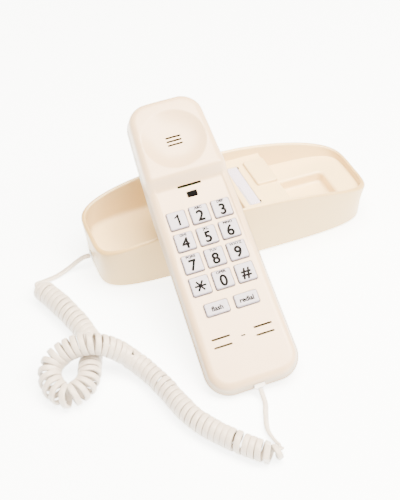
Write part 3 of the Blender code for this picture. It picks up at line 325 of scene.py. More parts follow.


# the handset's darker tone down its sides and on its back is painted shade
SHELL_FINISH = moulded("handset_plastic_fine", (0.575, 0.42, 0.265), (0.565, 0.408, 0.255),
                       (0.54, 0.39, 0.242), 0.34, 0.35 * MM, shade_mask=below_face, wear_and_shade=(0.325, 0.236, 0.141))
# the base's darker tone on its outer wall is painted shade
BASE_FINISH = moulded("base_plastic_fine", (0.74, 0.565, 0.295), (0.73, 0.55, 0.28),
                      (0.70, 0.525, 0.27), 0.38, 0.8 * MM, shade_mask=outer_wall, wear_and_shade=(0.44, 0.285, 0.095))
COVER_FINISH = moulded("cover_plastic_fine", (0.51, 0.37, 0.22), (0.50, 0.36, 0.21),
                       (0.46, 0.33, 0.19), 0.5, 0.3 * MM, grain=0.06 * MM, coat=0.0)
KEY_FINISH = key_plastic()
INK_FINISH = ink()
CORD_FINISH = cord_vinyl()
CARD_FINISH = card_stock()
WINDOW_FINISH = clear_plastic("window_fine", (0.95, 0.94, 0.97), 0.22)
PLUG_FINISH = clear_plastic("plug_fine", (0.86, 0.85, 0.83), 0.72)
BLACK_FINISH = mottled("black_plastic_fine", (0.006, 0.006, 0.006), (0.014, 0.0135, 0.013), 0.5,
                       700.0, 0.04 * MM, 0.25 * MM, gloss=0.25)
# painted shade: a dark brown finish for the walls of slits and notches, standing in for the shadow inside
# them
SLIT_SHADE_FINISH = mottled("slit_shade_fine", (0.016, 0.009, 0.005), (0.028, 0.016, 0.009), 0.7,
                      900.0, 0.03 * MM, gloss=0.15)
PLUNGER_FINISH = mottled("plunger_fine", (0.001, 0.001, 0.001), (0.003, 0.003, 0.003), 0.8,
                         700.0, 0.03 * MM, 0.2 * MM, gloss=0.03)
RUBBER_FINISH = mottled("rubber_fine", (0.16, 0.155, 0.15), (0.23, 0.225, 0.215), 0.85, 900.0, 0.08 * MM)
STEEL_FINISH = mottled("steel_fine", (0.62, 0.62, 0.61), (0.45, 0.44, 0.42), 0.36,
                       800.0, 0.02 * MM, 0.15 * MM, metallic=1.0, stretch=(1.0, 0.12, 1.0))
FOAM_FINISH = mottled("foam_fine", (0.05, 0.05, 0.05), (0.11, 0.11, 0.11), 0.95, 1500.0, 0.3 * MM)
BOARD_FINISH = board_finish()


# ---- mesh helpers --------------------------------------------------------------------------------
def finished(name, bm, material, matrix=None, angle=32, body=None):
    """A mesh object at the origin with its place in its mesh."""
    mesh = bpy.data.meshes.new(name)
    if matrix is not None:
        bmesh.ops.transform(bm, matrix=matrix, verts=bm.verts)
    bm.to_mesh(mesh)
    bm.free()
    mesh.shade_smooth()
    mesh.set_sharp_from_angle(angle=math.radians(angle))
    if material is not None:
        mesh.materials.append(material)
    obj = bpy.data.objects.new(name, mesh)
    bpy.context.scene.collection.objects.link(obj)
    if body:
        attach(obj, body)
    return obj


def quarter(steps, first=0):
    """Angles from 0 to a right angle, in even steps."""
    return [math.radians(90 * k / steps) for k in range(first, steps + 1)]


def bridge_rings(bm, rings):
    """Faces between rings of the same count, each ring closed."""
    for low, high in zip(rings, rings[1:]):
        n = len(low)
        for i in range(n):
            j = (i + 1) % n
            bm.faces.new((low[i], low[j], high[j], high[i]))


def cap_ends(bm, rings):
    bm.faces.new(list(reversed(rings[0])))
    bm.faces.new(rings[-1])


def rounded_outline(cx, cy, width, depth, radius, steps):
    """Points of a rounded rectangle, counter clockwise."""
    out = []
    for sx, sy, start in ((1, 1, 0), (-1, 1, 90), (-1, -1, 180), (1, -1, 270)):
        for k in range(steps + 1):
            a = math.radians(start + 90 * k / steps)
            out.append((cx + sx * (width / 2 - radius) + radius * math.cos(a),
                        cy + sy * (depth / 2 - radius) + radius * math.sin(a)))
    return out


def rounded_stack(bm, cx, cy, levels, steps=6):
    """A closed solid of rounded rectangles: levels are (z, width, depth, radius) from the bottom up."""
    rings = []
    for z, width, depth, radius in levels:
        outline = rounded_outline(cx, cy, width, depth, radius, steps)
        rings.append([bm.verts.new((x, y, z)) for x, y in outline])
    bridge_rings(bm, rings)
    cap_ends(bm, rings)


def upright(bm, cx, cy, low, high, width, depth, radius, steps=6):
    """A straight block with rounded corners, from low to high."""
    rounded_stack(bm, cx, cy, [(low, width, depth, radius), (high, width, depth, radius)], steps)


def evaluated_mesh(obj):
    """A plain mesh of the object as it is shown, with its modifiers applied."""
    bpy.context.view_layer.update()
    return bpy.data.meshes.new_from_object(obj.evaluated_get(bpy.context.evaluated_depsgraph_get()))


def settle(obj):
    """Apply the object's modifiers and drop them."""
    made = evaluated_mesh(obj)
    obj.modifiers.clear()
    old = obj.data
    obj.data = made
    bpy.data.meshes.remove(old)


def cut(target, tool, operation='DIFFERENCE'):
    """Apply a Boolean to the target's mesh and remove the tool."""
    mod = target.modifiers.new("cut", 'BOOLEAN')
    mod.operation = operation
    mod.solver = 'EXACT'
    mod.object = tool
    settle(target)
    bpy.data.objects.remove(tool, do_unlink=True)


def cutter(bm, matrix=None):
    """An object to cut or join with, its faces turned outward."""
    bmesh.ops.recalc_face_normals(bm, faces=bm.faces)
    return finished("cutter", bm, None, matrix)


class Tree:
    """A Geometry Nodes tree with named sizes, which ends in Realize Instances and Set Material."""

    def __init__(self, name, **sizes):
        self.group = bpy.data.node_groups.new(name, 'GeometryNodeTree')
        self.sizes = {label.replace("_", " "): value for label, value in sizes.items()}
        sockets = self.group.interface
        sockets.new_socket("Geometry", in_out='INPUT', socket_type='NodeSocketGeometry')
        sockets.new_socket("Geometry", in_out='OUTPUT', socket_type='NodeSocketGeometry')
        for label, value in self.sizes.items():
            kind = 'NodeSocketInt' if isinstance(value, int) else 'NodeSocketFloat'
            sockets.new_socket(label, in_out='INPUT', socket_type=kind)
        self.given = self.group.nodes.new("NodeGroupInput").outputs

    def node(self, kind, settings=None, inputs=None):
        made = self.group.nodes.new(kind)
        for key, value in (settings or {}).items():
            setattr(made, key, value)
        for key, value in (inputs or {}).items():
            if isinstance(value, bpy.types.NodeSocket):
                self.group.links.new(value, made.inputs[key])
            else:
                made.inputs[key].default_value = value
        return made.outputs[0]

    def vector(self, x=0.0, y=0.0, z=0.0):
        return self.node("ShaderNodeCombineXYZ", None, {0: x, 1: y, 2: z})

    def rounded_profile(self, width, height, radius):
        box = self.node("GeometryNodeCurvePrimitiveQuadrilateral", None, {"Width": width, "Height": height})
        return self.node("GeometryNodeFilletCurve", {"mode": 'POLY'},
                         {"Curve": box, "Radius": radius, "Count": 3, "Limit Radius": True})

    def row(self, piece, count, step):
        """The piece repeated along a straight row of `count` places from the origin."""
        line = self.node("GeometryNodeMeshLine", None, {"Count": count, "Offset": step})
        return self.node("GeometryNodeInstanceOnPoints", None, {"Points": line, "Instance": piece})

    def grow(self, obj, shape, material=None):
        """Close the tree, run it on the object and leave a plain mesh."""
        solid = self.node("GeometryNodeRealizeInstances", None, {0: shape})
        dressed = self.node("GeometryNodeSetMaterial", None, {"Geometry": solid, "Material": material})
        end = self.group.nodes.new("NodeGroupOutput")
        self.group.links.new(dressed, end.inputs[0])
        mod = obj.modifiers.new("tree", 'NODES')
        mod.node_group = self.group
        for item in self.group.interface.items_tree:
            if item.in_out == 'INPUT' and item.name in self.sizes:
                mod[item.identifier] = self.sizes[item.name]
        settle(obj)


def smooth_route(points, spacing):
    """Points read off a smooth curve through the route, about `spacing` apart."""
    pts = [Vector(p) for p in points]
    ext = [pts[0] * 2 - pts[1]] + pts + [pts[-1] * 2 - pts[-2]]
    fine = []
    for i in range(1, len(ext) - 2):
        a, b, c, d = ext[i - 1:i + 3]
        for k in range(16):
            t = k / 16
            fine.append(0.5 * (2 * b + (c - a) * t + (2 * a - 5 * b + 4 * c - d) * t * t
                               + (3 * b - a - 3 * c + d) * t ** 3))
    fine.append(pts[-1])
    total = sum((q - p).length for p, q in zip(fine, fine[1:]))
    count = max(2, round(total / spacing))
    step = total / count
    out, run, target = [fine[0]], 0.0, step
    for p, q in zip(fine, fine[1:]):
        length = (q - p).length
        while target <= run + length and len(out) < count:
            out.append(p.lerp(q, (target - run) / length))
            target += step
        run += length
    out.append(fine[-1])
    return out


def ease(t):
    """A smooth rise from 0 to 1 as t goes from 0 to 1."""
    t = max(0.0, min(1.0, t))
    return t * t * (3 - 2 * t)


def mix(a, b, t):
    """From a to b as t goes from 0 to 1, held at the ends."""
    t = max(0.0, min(1.0, t))
    return a + (b - a) * t


def dress_mesh(obj, angle, *finishes):
    """Smooth shading with sharp edges past the angle, and the finishes in their slots."""
    obj.data.materials.clear()
    for finish in finishes:
        obj.data.materials.append(finish)
    obj.data.shade_smooth()
    obj.data.set_sharp_from_angle(angle=math.radians(angle))


def stand_in(obj, body, solid):
    """Show the object in place of a solid, riding on its body."""
    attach(obj, body)
    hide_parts(solid)


def laid(place, axis):
    """Turns what is built upright a right angle about the axis and moves it to the place."""
    return Matrix.Translation(place) @ Matrix.Rotation(math.radians(90), 4, axis)


# ---- base ----------------------------------------------------------------------------------------
def superellipse(half_length, half_width, count):
    """The base's outline in plan."""
    out = []
    for i in range(count):
        angle = 2 * math.pi * i / count
        c, s = math.cos(angle), math.sin(angle)
        out.append((half_length * math.copysign(abs(c) ** (2 / BASE_CORNER), c),
                    half_width * math.copysign(abs(s) ** (2 / BASE_CORNER), s)))
    return out


def rim_height(x):
    """Height of the rim above the table: highest near the middle, lowest at the ear end."""
    u = 2 * x / BASE_LENGTH
    return RIM_END + (RIM_MIDDLE - RIM_END) * (1 - u * u) - RIM_TILT * u


def wall_inset(z, extra=0.0):
    """How far the drafted wall lies inside the rim's outline, at its ends and at its sides."""
    share = 1.0 - (z - FOOT_HEIGHT) / (RIM_MIDDLE - FOOT_HEIGHT)
    return (END_DRAFT * share + extra, SIDE_DRAFT * share + extra)


def base_moulding(under):
    """The tray with its rolled rim and rounded foot, open below up to the level `under`."""
    bm = bmesh.new()

    def ring(inset, height):
        points = superellipse(BASE_LENGTH / 2 - inset[0], BASE_WIDTH / 2 - inset[1], 264)
        return [bm.verts.new((x, y, height(x) if callable(height) else height)) for x, y in points]

    half, edge, corner = BASE_WALL / 2, 1.5 * MM, 4 * MM
    rings = [ring(wall_inset(under, BASE_WALL), under),
             ring(wall_inset(FOOT_HEIGHT, BASE_WALL), FOOT_HEIGHT),
             ring(wall_inset(FOOT_HEIGHT, edge), FOOT_HEIGHT)]
    for a in quarter(5, 1):
        z = FOOT_HEIGHT + edge * (1 - math.cos(a))
        rings.append(ring(wall_inset(z, edge * (1 - math.sin(a))), z))
    rings.append(ring(wall_inset(TRAY_FLOOR), TRAY_FLOOR))
    for k in range(13):
        a = math.radians(180 * k / 12)
        inset = half * (1 - math.cos(a))
        rings.append(ring((inset, inset), lambda x, a=a: rim_height(x) - half + half * math.sin(a)))
    for a in quarter(8):
        rings.append(ring(wall_inset(TRAY_FLOOR, BASE_WALL + corner * (1 - math.cos(a))),
                          TRAY_FLOOR + corner * (1 - math.sin(a))))
    bridge_rings(bm, rings)
    cap_ends(bm, rings)
    bmesh.ops.recalc_face_normals(bm, faces=bm.faces)
    return finished("base_shell", bm, None)


def hook_pad():
    """The raised pad on the bridge, rounded over its top edge."""
    bm = bmesh.new()
    right = BRIDGE_RIGHT - 0.4 * MM
    w, d = right - PAD_LEFT, PAD_BACK - PAD_FRONT
    top, r = BRIDGE_TOP + PAD_HEIGHT, 1.1 * MM
    levels = [(BRIDGE_TOP - FLOOR_WALL / 2, w, d, 2.0 * MM), (top - r, w, d, 2.0 * MM)]
    for a in quarter(5, 1):
        s = 2 * r * (1 - math.cos(a))
        levels.append((top - r + r * math.sin(a), w - s, d - s, 2.0 * MM - s / 4))
    rounded_stack(bm, (PAD_LEFT + right) / 2, (PAD_FRONT + PAD_BACK) / 2, levels)
    return cutter(bm)


def ear_pocket():
    """The hollow in the ear end, rounded at its floor and at its mouth."""
    bm = bmesh.new()
    w, d = POCKET_RIGHT - POCKET_LEFT, POCKET_BACK - POCKET_FRONT
    r, corner = 2.5 * MM, 4 * MM
    levels = []
    for a in quarter(5):
        s = 2 * r * (1 - math.sin(a))
        levels.append((TRAY_FLOOR + r * (1 - math.cos(a)), w - s, d - s, corner))
    for a in quarter(5):
        s = 2 * r * (1 - math.cos(a))
        levels.append((EAR_FLOOR - r + r * math.sin(a), w + s, d + s, corner + s / 2))
    levels.append((EAR_FLOOR + 5 * MM, w + 2 * r, d + 2 * r, corner + r))
    rounded_stack(bm, (POCKET_LEFT + POCKET_RIGHT) / 2, (POCKET_FRONT + POCKET_BACK) / 2, levels)
    return cutter(bm)


def base_openings(housing):
    """The card's seat with its notches, the cord's socket and the ringer switch's slot."""
    high = BRIDGE_TOP + 5 * MM
    bm = bmesh.new()
    upright(bm, CARD_X, 0, BRIDGE_TOP - CARD_SEAT, high, CARD_WIDTH + 2 * GAP, CARD_LENGTH + 2 * GAP,
            0.6 * MM)
    cut(housing, cutter(bm))
    bm = bmesh.new()
    for sy in (-1, 1):    # notches that free the window
        upright(bm, CARD_X + NOTCH_OUT, sy * (CARD_LENGTH / 2 - NOTCH_IN), BRIDGE_TOP - NOTCH_DEEP, high,
                NOTCH_WIDTH, NOTCH_LENGTH, 0.5 * MM)
    cut(housing, cutter(bm))
    bm = bmesh.new()
    upright(bm, 0, 0, -6.5 * MM, 6.5 * MM, PLUG_HEIGHT + 2 * GAP, PLUG_WIDTH + 2 * GAP, 0.4 * MM)
    cut(housing, cutter(bm, laid(CORD_PLUG_PLACE, 'Y')))
    bm = bmesh.new()
    upright(bm, 0, 0, -6.5 * MM, 6.5 * MM, 14.6 * MM, 4 * MM, 0.8 * MM)
    cut(housing, cutter(bm, laid(KNOB_SLOT_PLACE, 'X')))


def shade_notch_walls(housing):
    """Painted shade: darken the walls of the notches beside the card, where shadow falls in them."""
    for face in housing.data.polygons:
        x, y, z = face.center
        if (abs(x - CARD_X - NOTCH_OUT) < NOTCH_WIDTH / 2 + 0.1 * MM
                and abs(abs(y) - CARD_LENGTH / 2 + NOTCH_IN) < NOTCH_LENGTH / 2 + 0.1 * MM
                and BRIDGE_TOP - NOTCH_DEEP - 0.1 * MM < z < BRIDGE_TOP - 0.05 * MM):
            face.material_index = 1


def base_housing():
    """The base's one moulding: tray, bridge, hook pad, raised ear end, pocket and screw bosses."""
    half, under = BASE_WALL / 2, TRAY_FLOOR - FLOOR_WALL
    buried, below = under + FLOOR_WALL / 2, under - 1 * MM
    ear_right = BASE_LENGTH / 2 - wall_inset(EAR_FLOOR)[0] - half
    housing = base_moulding(under)
    cut(housing, plan_block(BRIDGE_LEFT, BRIDGE_RIGHT, buried, BRIDGE_TOP, half, 1.4 * MM), 'UNION')
    cut(housing, plan_block(BRIDGE_RIGHT - FLOOR_WALL / 2, ear_right, buried, EAR_FLOOR, half, stations=48),
        'UNION')
    cut(housing, hook_pad(), 'UNION')
    cut(housing, plan_block(BRIDGE_LEFT + FLOOR_WALL, BRIDGE_RIGHT - FLOOR_WALL, below,
                            BRIDGE_TOP - FLOOR_WALL, BASE_WALL + 1 * MM))
    cut(housing, plan_block(POCKET_RIGHT + FLOOR_WALL, ear_right - 6 * MM, below, EAR_FLOOR - FLOOR_WALL,
                            BASE_WALL + 2 * MM))
    cut(housing, ear_pocket())
    base_openings(housing)
    spots = [(sx * SCREW_X, sy * SCREW_Y) for sx in (-1, 1) for sy in (-1, 1)]
    cut(housing, posts(spots, BOSS_RADIUS, COVER_TOP, buried), 'UNION')
    cut(housing, posts(spots, SCREW_SHANK + GAP, COVER_TOP - 1 * MM, COVER_TOP + 9 * MM))
    dress_mesh(housing, 28, BASE_FINISH, SLIT_SHADE_FINISH)
    # painted shade in the notches beside the card
    shade_notch_walls(housing)
    stand_in(housing, "base", "base_housing")


def posts(spots, radius, low, high):
    """Round posts at the spots, to cut or join with."""
    bm = bmesh.new()
    for x, y in spots:
        bmesh.ops.create_cone(bm, cap_ends=True, segments=28, radius1=radius, radius2=radius,
                              depth=high - low, matrix=Matrix.Translation((x, y, (low + high) / 2)))
    return finished("cutter", bm, None)


def tray_half_width(x, z, inset):
    """Half the base's width at a place along it, inside the wall by the inset."""
    a = BASE_LENGTH / 2 - wall_inset(z)[0] - inset
    b = BASE_WIDTH / 2 - wall_inset(z)[1] - inset
    return b * (1 - min(1.0, abs(x) / a) ** BASE_CORNER) ** (1 / BASE_CORNER)


def plan_block(x_low, x_high, z_low, z_high, inset, radius=0.0, stations=24):
    """A block between x_low and x_high whose sides follow the base's wall."""
    bm = bmesh.new()
    levels = [(z_low, 0.0), (z_high - radius, 0.0)]
    if radius:
        for a in quarter(6, 1):
            levels.append((z_high - radius + radius * math.sin(a), radius * (1 - math.cos(a))))
    loops = []
    for z, shrink in levels:
        low, high = x_low + shrink, x_high - shrink
        xs = [low + (high - low) * i / (stations - 1) for i in range(stations)]
        near = [bm.verts.new((x, -tray_half_width(x, z, inset), z)) for x in xs]
        far = [bm.verts.new((x, tray_half_width(x, z, inset), z)) for x in reversed(xs)]
        loops.append(near + far)
    bridge_rings(bm, loops)
    cap_ends(bm, loops)
    return cutter(bm)


# ---- handset -------------------------------------------------------------------------------------
def side_half_width(y):
    """Half the handset's width: it narrows to the ear end and widens to the mouth end."""
    if y > 0:
        return mix(MIDDLE_HALF, EAR_HALF, (y / (EAR_END - EAR_CORNER)) ** 1.5)
    return mix(MIDDLE_HALF, MOUTH_HALF, y / (MOUTH_END + MOUTH_CORNER))


def face_level(x, y):
    """Level of the face: low lips beside the keypad, a slope up to the ear block and a dish in it."""
    z = EAR_BLOCK * ease((y - STEP_FOOT) / (STEP_HEAD - STEP_FOOT))
    r = math.hypot(x, y - CUP_Y) / CUP_RADIUS
    if r < 1:
        z -= CUP_DEPTH * (1 - (1 - min(1.0, (1 - r) / 0.75)) ** 2)
    crown = 1.2 * MM * (x / EAR_HALF) ** 2
    end_drop = 2.0 * MM * ease((y - EAR_END + 30 * MM) / (30 * MM)) ** 2
    z -= (crown + end_drop) * ease((y - STEP_HEAD) / (10 * MM))
    lip = ease((abs(x) - side_half_width(y) + 7.2 * MM) / (0.9 * MM))
    fade = ease((y + 62 * MM) / (70 * MM)) * (1 - ease((y - STEP_FOOT) / (5 * MM)))
    return z + 1.0 * MM * lip * fade


def back_level(x, y):
    """Level of the handset's back, thinnest at the mouth end."""
    if y < 0:
        z = mix(BACK_MIDDLE, BACK_MOUTH, (y / MOUTH_END) ** 1.35)
    else:
        z = mix(BACK_MIDDLE, BACK_EAR, y / (EAR_END * 0.6))
    lift = 5 * MM * ease((y - EAR_END + 34 * MM) / (34 * MM)) ** 2
    return z + lift + 1.0 * MM * (x / MIDDLE_HALF) ** 2


def outline_stations(side_step, corner_steps):
    """Stations along one side: (half width, y, inward normal x, inward normal y)."""
    out = []
    low, high = MOUTH_END + MOUTH_CORNER, EAR_END - EAR_CORNER
    for a in quarter(corner_steps):
        out.append((side_half_width(low) - MOUTH_CORNER + MOUTH_CORNER * math.sin(a),
                    low - MOUTH_CORNER * math.cos(a), -math.sin(a), math.cos(a)))
    count = round((high - low) / side_step)
    for i in range(1, count):
        y = low + (high - low) * i / count
        out.append((side_half_width(y), y, -1.0, 0.0))
    for a in quarter(corner_steps):
        out.append((side_half_width(high) - EAR_CORNER + EAR_CORNER * math.cos(a),
                    high + EAR_CORNER * math.sin(a), -math.cos(a), -math.sin(a)))
    return out


def shell_surface(bm, rings, level, stations, columns):
    """Rings up from the seam and a grid over the face. Returns the ring at the seam."""
    n = len(stations)
    shares = [math.sin((2 * c / columns - 1) * 1.3) / math.sin(1.3) for c in range(columns + 1)]
    boundary = [(0, c) for c in range(columns + 1)]
    boundary += [(s, columns) for s in range(1, n)]
    boundary += [(n - 1, c) for c in range(columns - 1, -1, -1)]
    boundary += [(s, 0) for s in range(n - 2, 0, -1)]

    def place(s, c, inset):
        half, y, nx, ny = stations[s]
        return shares[c] * (half + nx * inset), y + ny * inset

    loops = []
    for inset, height in rings:
        made = []
        for s, c in boundary:
            x, y = place(s, c, inset)
            made.append(bm.verts.new((x, y, height(x, y))))
        loops.append(made)
    bridge_rings(bm, loops)
    inner = dict(zip(boundary, loops[-1]))
    for s in range(n):
        for c in range(columns + 1):
            if (s, c) not in inner:
                x, y = place(s, c, rings[-1][0])
                inner[(s, c)] = bm.verts.new((x, y, level(x, y)))
    for s in range(n - 1):
        for c in range(columns):
            bm.faces.new((inner[(s, c)], inner[(s, c + 1)], inner[(s + 1, c + 1)], inner[(s + 1, c)]))
    return loops[0]


def handset_half(name, level, direction, fillet, slope, seam, side_step, columns):
    """One hollow half of the handset, from the seam to its level on the side that direction gives."""
    bm = bmesh.new()
    stations = outline_stations(side_step, 14)

    def arc_rings(extra, thickness):
        rings = [(extra + 0.25 * MM, lambda x, y: seam),
                 (extra, lambda x, y: seam + direction * 0.35 * MM)]
        for a in quarter(8):
            def height(x, y, a=a):
                depth = direction * (level(x, y) - seam)
                radius = min(fillet, 0.75 * depth) - thickness
                return level(x, y) - direction * (thickness + radius * (1 - math.sin(a)))

            rings.append((extra + slope + (fillet - thickness) * (1 - math.cos(a)), height))
        return rings

    outer = shell_surface(bm, arc_rings(0.0, 0.0), level, stations, columns)
    inner = shell_surface(bm, arc_rings(SHELL, SHELL), lambda x, y: level(x, y) - direction * SHELL,
                          stations, columns)
    bridge_rings(bm, [outer, inner])
    bmesh.ops.recalc_face_normals(bm, faces=bm.faces)
    return finished(name, bm, None)


LETTERS = {"2": "ABC", "3": "DEF", "4": "GHI", "5": "JKL", "6": "MNO", "7": "PQRS", "8": "TUV",
           "9": "WXYZ", "0": "OPER"}
CAPITAL_HEIGHT = 0.70              # of the built-in font at size 1
DIGITS = ("1", "2", "3", "4", "5", "6", "7", "8", "9", "star", "0", "hash")


def key_places():
    """Every key: (name, x, y, width, depth) on the handset's face."""
    out = []
    for i, digit in enumerate(DIGITS):
        out.append((digit, (i % 3 - 1) * PITCH_X, -(i // 3) * PITCH_Y, KEY_SIZE, KEY_SIZE))
    out.append(("flash", -10.5 * MM, -67.5 * MM, 16.5 * MM, 9 * MM))
    out.append(("redial", 10.5 * MM, -67.5 * MM, 16.5 * MM, 9 * MM))
    return out


def slit_row(x, y, count, pitch, length, width):
    """A cutter for a row of sound slits, the first at (x, y)."""
    tree = Tree("sound_slits", Slit_Length=length, Slit_Width=width, Slit_Round=width * 0.49,
                Slit_Count=count, Slit_Pitch=pitch, Slit_Depth=14 * MM)
    given = tree.given
    outline = tree.rounded_profile(given["Slit Length"], given["Slit Width"], given["Slit Round"])
    line = tree.node("GeometryNodeCurvePrimitiveLine", None, {"End": tree.vector(z=given["Slit Depth"])})
    line = tree.node("GeometryNodeSetCurveNormal", {"mode": 'FREE'},
                     {"Curve": line, "Normal": (1.0, 0.0, 0.0)})
    slit = tree.node("GeometryNodeCurveToMesh", None,
                     {"Curve": line, "Profile Curve": outline, "Fill Caps": True})
    seed = finished("slits", bmesh.new(), None)
    tree.grow(seed, tree.row(slit, given["Slit Count"], tree.vector(y=given["Slit Pitch"])))
    seed.data.transform(Matrix.Translation((x, y, -SHELL - 3 * MM)))
    bm = bmesh.new()
    bm.from_mesh(seed.data)
    bpy.data.objects.remove(seed, do_unlink=True)
    return cutter(bm)


def shade_slit_walls(shell, spots):
    """Painted shade: darken the walls of narrow slits, where shadow falls in them: spots are (x, y, length,
    width).
    """
    for face in shell.data.polygons:
        if abs(face.normal.z) < 0.5 and face.center.z > -SHELL - 0.1 * MM:
            for x, y, length, width in spots:
                if (abs(face.center.x - x) < length / 2 + 0.05 * MM
                        and abs(face.center.y - y) < width / 2 + 0.05 * MM):
                    face.material_index = 1


def face_openings():
    """The keys' holes, the hook plunger's hole, the slot at the step and the dot between the slits."""
    bm = bmesh.new()
    low, high = -SHELL - 3 * MM, 6 * MM
    for _, x, y, width, depth in key_places():
        upright(bm, x, y, low, high, width + 2 * KEY_GAP, depth + 2 * KEY_GAP, 1.5 * MM)
    upright(bm, 0, HOOK_Y, low, high, HOOK_SIZE[0] + 2 * GAP, HOOK_SIZE[1] + 2 * GAP, 0.5 * MM, 3)
    upright(bm, *STRIKE_SLOT[:2], low, high, *STRIKE_SLOT[2:], 0.7 * MM, 4)
    upright(bm, *DOT_SLOT[:2], low, high, *DOT_SLOT[2:], 0.49 * MM, 4)
    return cutter(bm)


def slit_places():
    """Every narrow opening of the face: (x, y, length, width)."""
    ear = [(0.0, CUP_Y + i * EAR_SLIT_PITCH, EAR_SLIT_LENGTH, SLIT_WIDTH) for i in (-1, 0, 1)]
    mouth = [(sx * MOUTH_SLIT_X, MOUTH_SLIT_Y + sy * MOUTH_SLIT_PITCH / 2, MOUTH_SLIT_LENGTH, SLIT_WIDTH)
             for sx in (-1, 1) for sy in (-1, 1)]
    return [STRIKE_SLOT, DOT_SLOT] + ear + mouth


def handset_shells():
    """Both halves with their openings, the plug's notch and the screw posts."""
    front = handset_half("handset_face", face_level, 1, FACE_FILLET, SIDE_SLOPE, PARTING, 1.35 * MM, 52)
    rear = handset_half("handset_back", back_level, -1, BACK_FILLET, 0.8 * MM, PARTING - GAP, 3.0 * MM, 32)
    cut(front, face_openings())
    cut(front, slit_row(0.0, CUP_Y - EAR_SLIT_PITCH, EAR_SLITS, EAR_SLIT_PITCH, EAR_SLIT_LENGTH, SLIT_WIDTH))
    for side in (-1, 1):
        cut(front, slit_row(side * MOUTH_SLIT_X, MOUTH_SLIT_Y - MOUTH_SLIT_PITCH / 2, 2, MOUTH_SLIT_PITCH,
                            MOUTH_SLIT_LENGTH, SLIT_WIDTH))
    for shell in (front, rear):
        bm = bmesh.new()
        upright(bm, 0, 0, -7 * MM, 7 * MM, PLUG_WIDTH + 2 * GAP, PLUG_HEIGHT + 2 * GAP, 0.5 * MM, 3)
        cut(shell, cutter(bm, laid((0, MOUTH_END + 5 * MM, HANDSET_EXIT), 'X')))
    for y in SCREW_SPOTS:
        back, face = back_level(0, y), face_level(0, y)
        cut(front, posts([(0, y)], 3.2 * MM, PARTING + GAP, face - SHELL / 2), 'UNION')
        cut(front, posts([(0, y)], SCREW_SHANK + GAP, PARTING - MM, face - SHELL - GAP))
        cut(rear, posts([(0, y)], SCREW_SHANK + GAP, back - 3 * MM, back + 6 * MM))
        cut(rear, posts([(0, y)], 2.8 * MM + GAP, back - 3 * MM, back + 1.1 * MM))
    dress_mesh(front, 30, SHELL_FINISH, SLIT_SHADE_FINISH)
    dress_mesh(rear, 30, SHELL_FINISH)
    # painted shade in the slits, the slot at the step and the dot
    shade_slit_walls(front, slit_places())
    for shell, node in ((front, "handset_front_shell"), (rear, "handset_rear_shell")):
        shell.data.transform(HANDSET)
        stand_in(shell, "handset", node)


def text_mesh(text, height, x, y, z, stretch=1.0, bold=0.0):
    """Flat raised print: capitals `height` tall, centred on (x, y), in the handset's frame.

    Bold print is the same outline laid eight times around a circle of that radius.
    """
    curve = bpy.data.curves.new("print", 'FONT')
    curve.body = text
    curve.align_x = 'CENTER'
    curve.size = 1.0
    curve.resolution_u = 6
    obj = bpy.data.objects.new("print", curve)
    bpy.context.scene.collection.objects.link(obj)
    mesh = evaluated_mesh(obj)
    bpy.data.objects.remove(obj, do_unlink=True)
    xs = [v.co.x for v in mesh.vertices]
    scale = (height - 2 * bold) / CAPITAL_HEIGHT
    flat = bmesh.new()
    flat.from_mesh(mesh)
    sized = Matrix.Diagonal((scale * stretch, scale, 1, 1))
    centred = Matrix.Translation((-(max(xs) + min(xs)) / 2, -CAPITAL_HEIGHT / 2, 0))
    bmesh.ops.transform(flat, matrix=Matrix.Translation((x, y, z)) @ sized @ centred, verts=flat.verts)
    thicken(flat, 0.1 * MM)
    flat.to_mesh(mesh)
    flat.free()
    bm = bmesh.new()
    for k in range(8 if bold else 1):
        a = 2 * math.pi * k / 8
        shifted = mesh.copy()
        shifted.transform(Matrix.Translation((bold * math.cos(a), bold * math.sin(a), 0.002 * MM * k)))
        bm.from_mesh(shifted)
        bpy.data.meshes.remove(shifted)
    bpy.data.meshes.remove(mesh)
    return bm


def thicken(bm, depth):
    """Turn a flat print into a thin slab."""
    bmesh.ops.remove_doubles(bm, verts=bm.verts, dist=0.002 * MM)
    made = bmesh.ops.extrude_face_region(bm, geom=list(bm.faces))
    top = [e for e in made["geom"] if isinstance(e, bmesh.types.BMVert)]
    bmesh.ops.translate(bm, verts=top, vec=(0, 0, depth))
    bmesh.ops.recalc_face_normals(bm, faces=bm.faces)


def one_print(x, y, z):
    """The digit 1: an upright with a flag."""
    bm = bmesh.new()
    spots = ((0.0, -4.2), (1.5, -4.2), (1.5, 4.2), (0.5, 4.2), (-0.45, 3.05), (-1.8, 2.5), (-1.8, 1.3),
             (0.0, 2.1))
    bm.faces.new([bm.verts.new((x + a * MM, y + b * MM, z)) for a, b in spots])
    thicken(bm, 0.06 * MM)
    return bm


def star_print(x, y, z):
    """Six armed star: two diagonals and a level bar."""
    bm = bmesh.new()
    for angle in (0, 57, -57):
        turn = Matrix.Translation((x, y, z + 0.03 * MM)) @ Matrix.Rotation(math.radians(angle), 4, 'Z')
        bar = Matrix.Diagonal((8.2 * MM, 1.35 * MM, 0.1 * MM, 1))
        bmesh.ops.create_cube(bm, size=1.0, matrix=turn @ bar)
    return bm


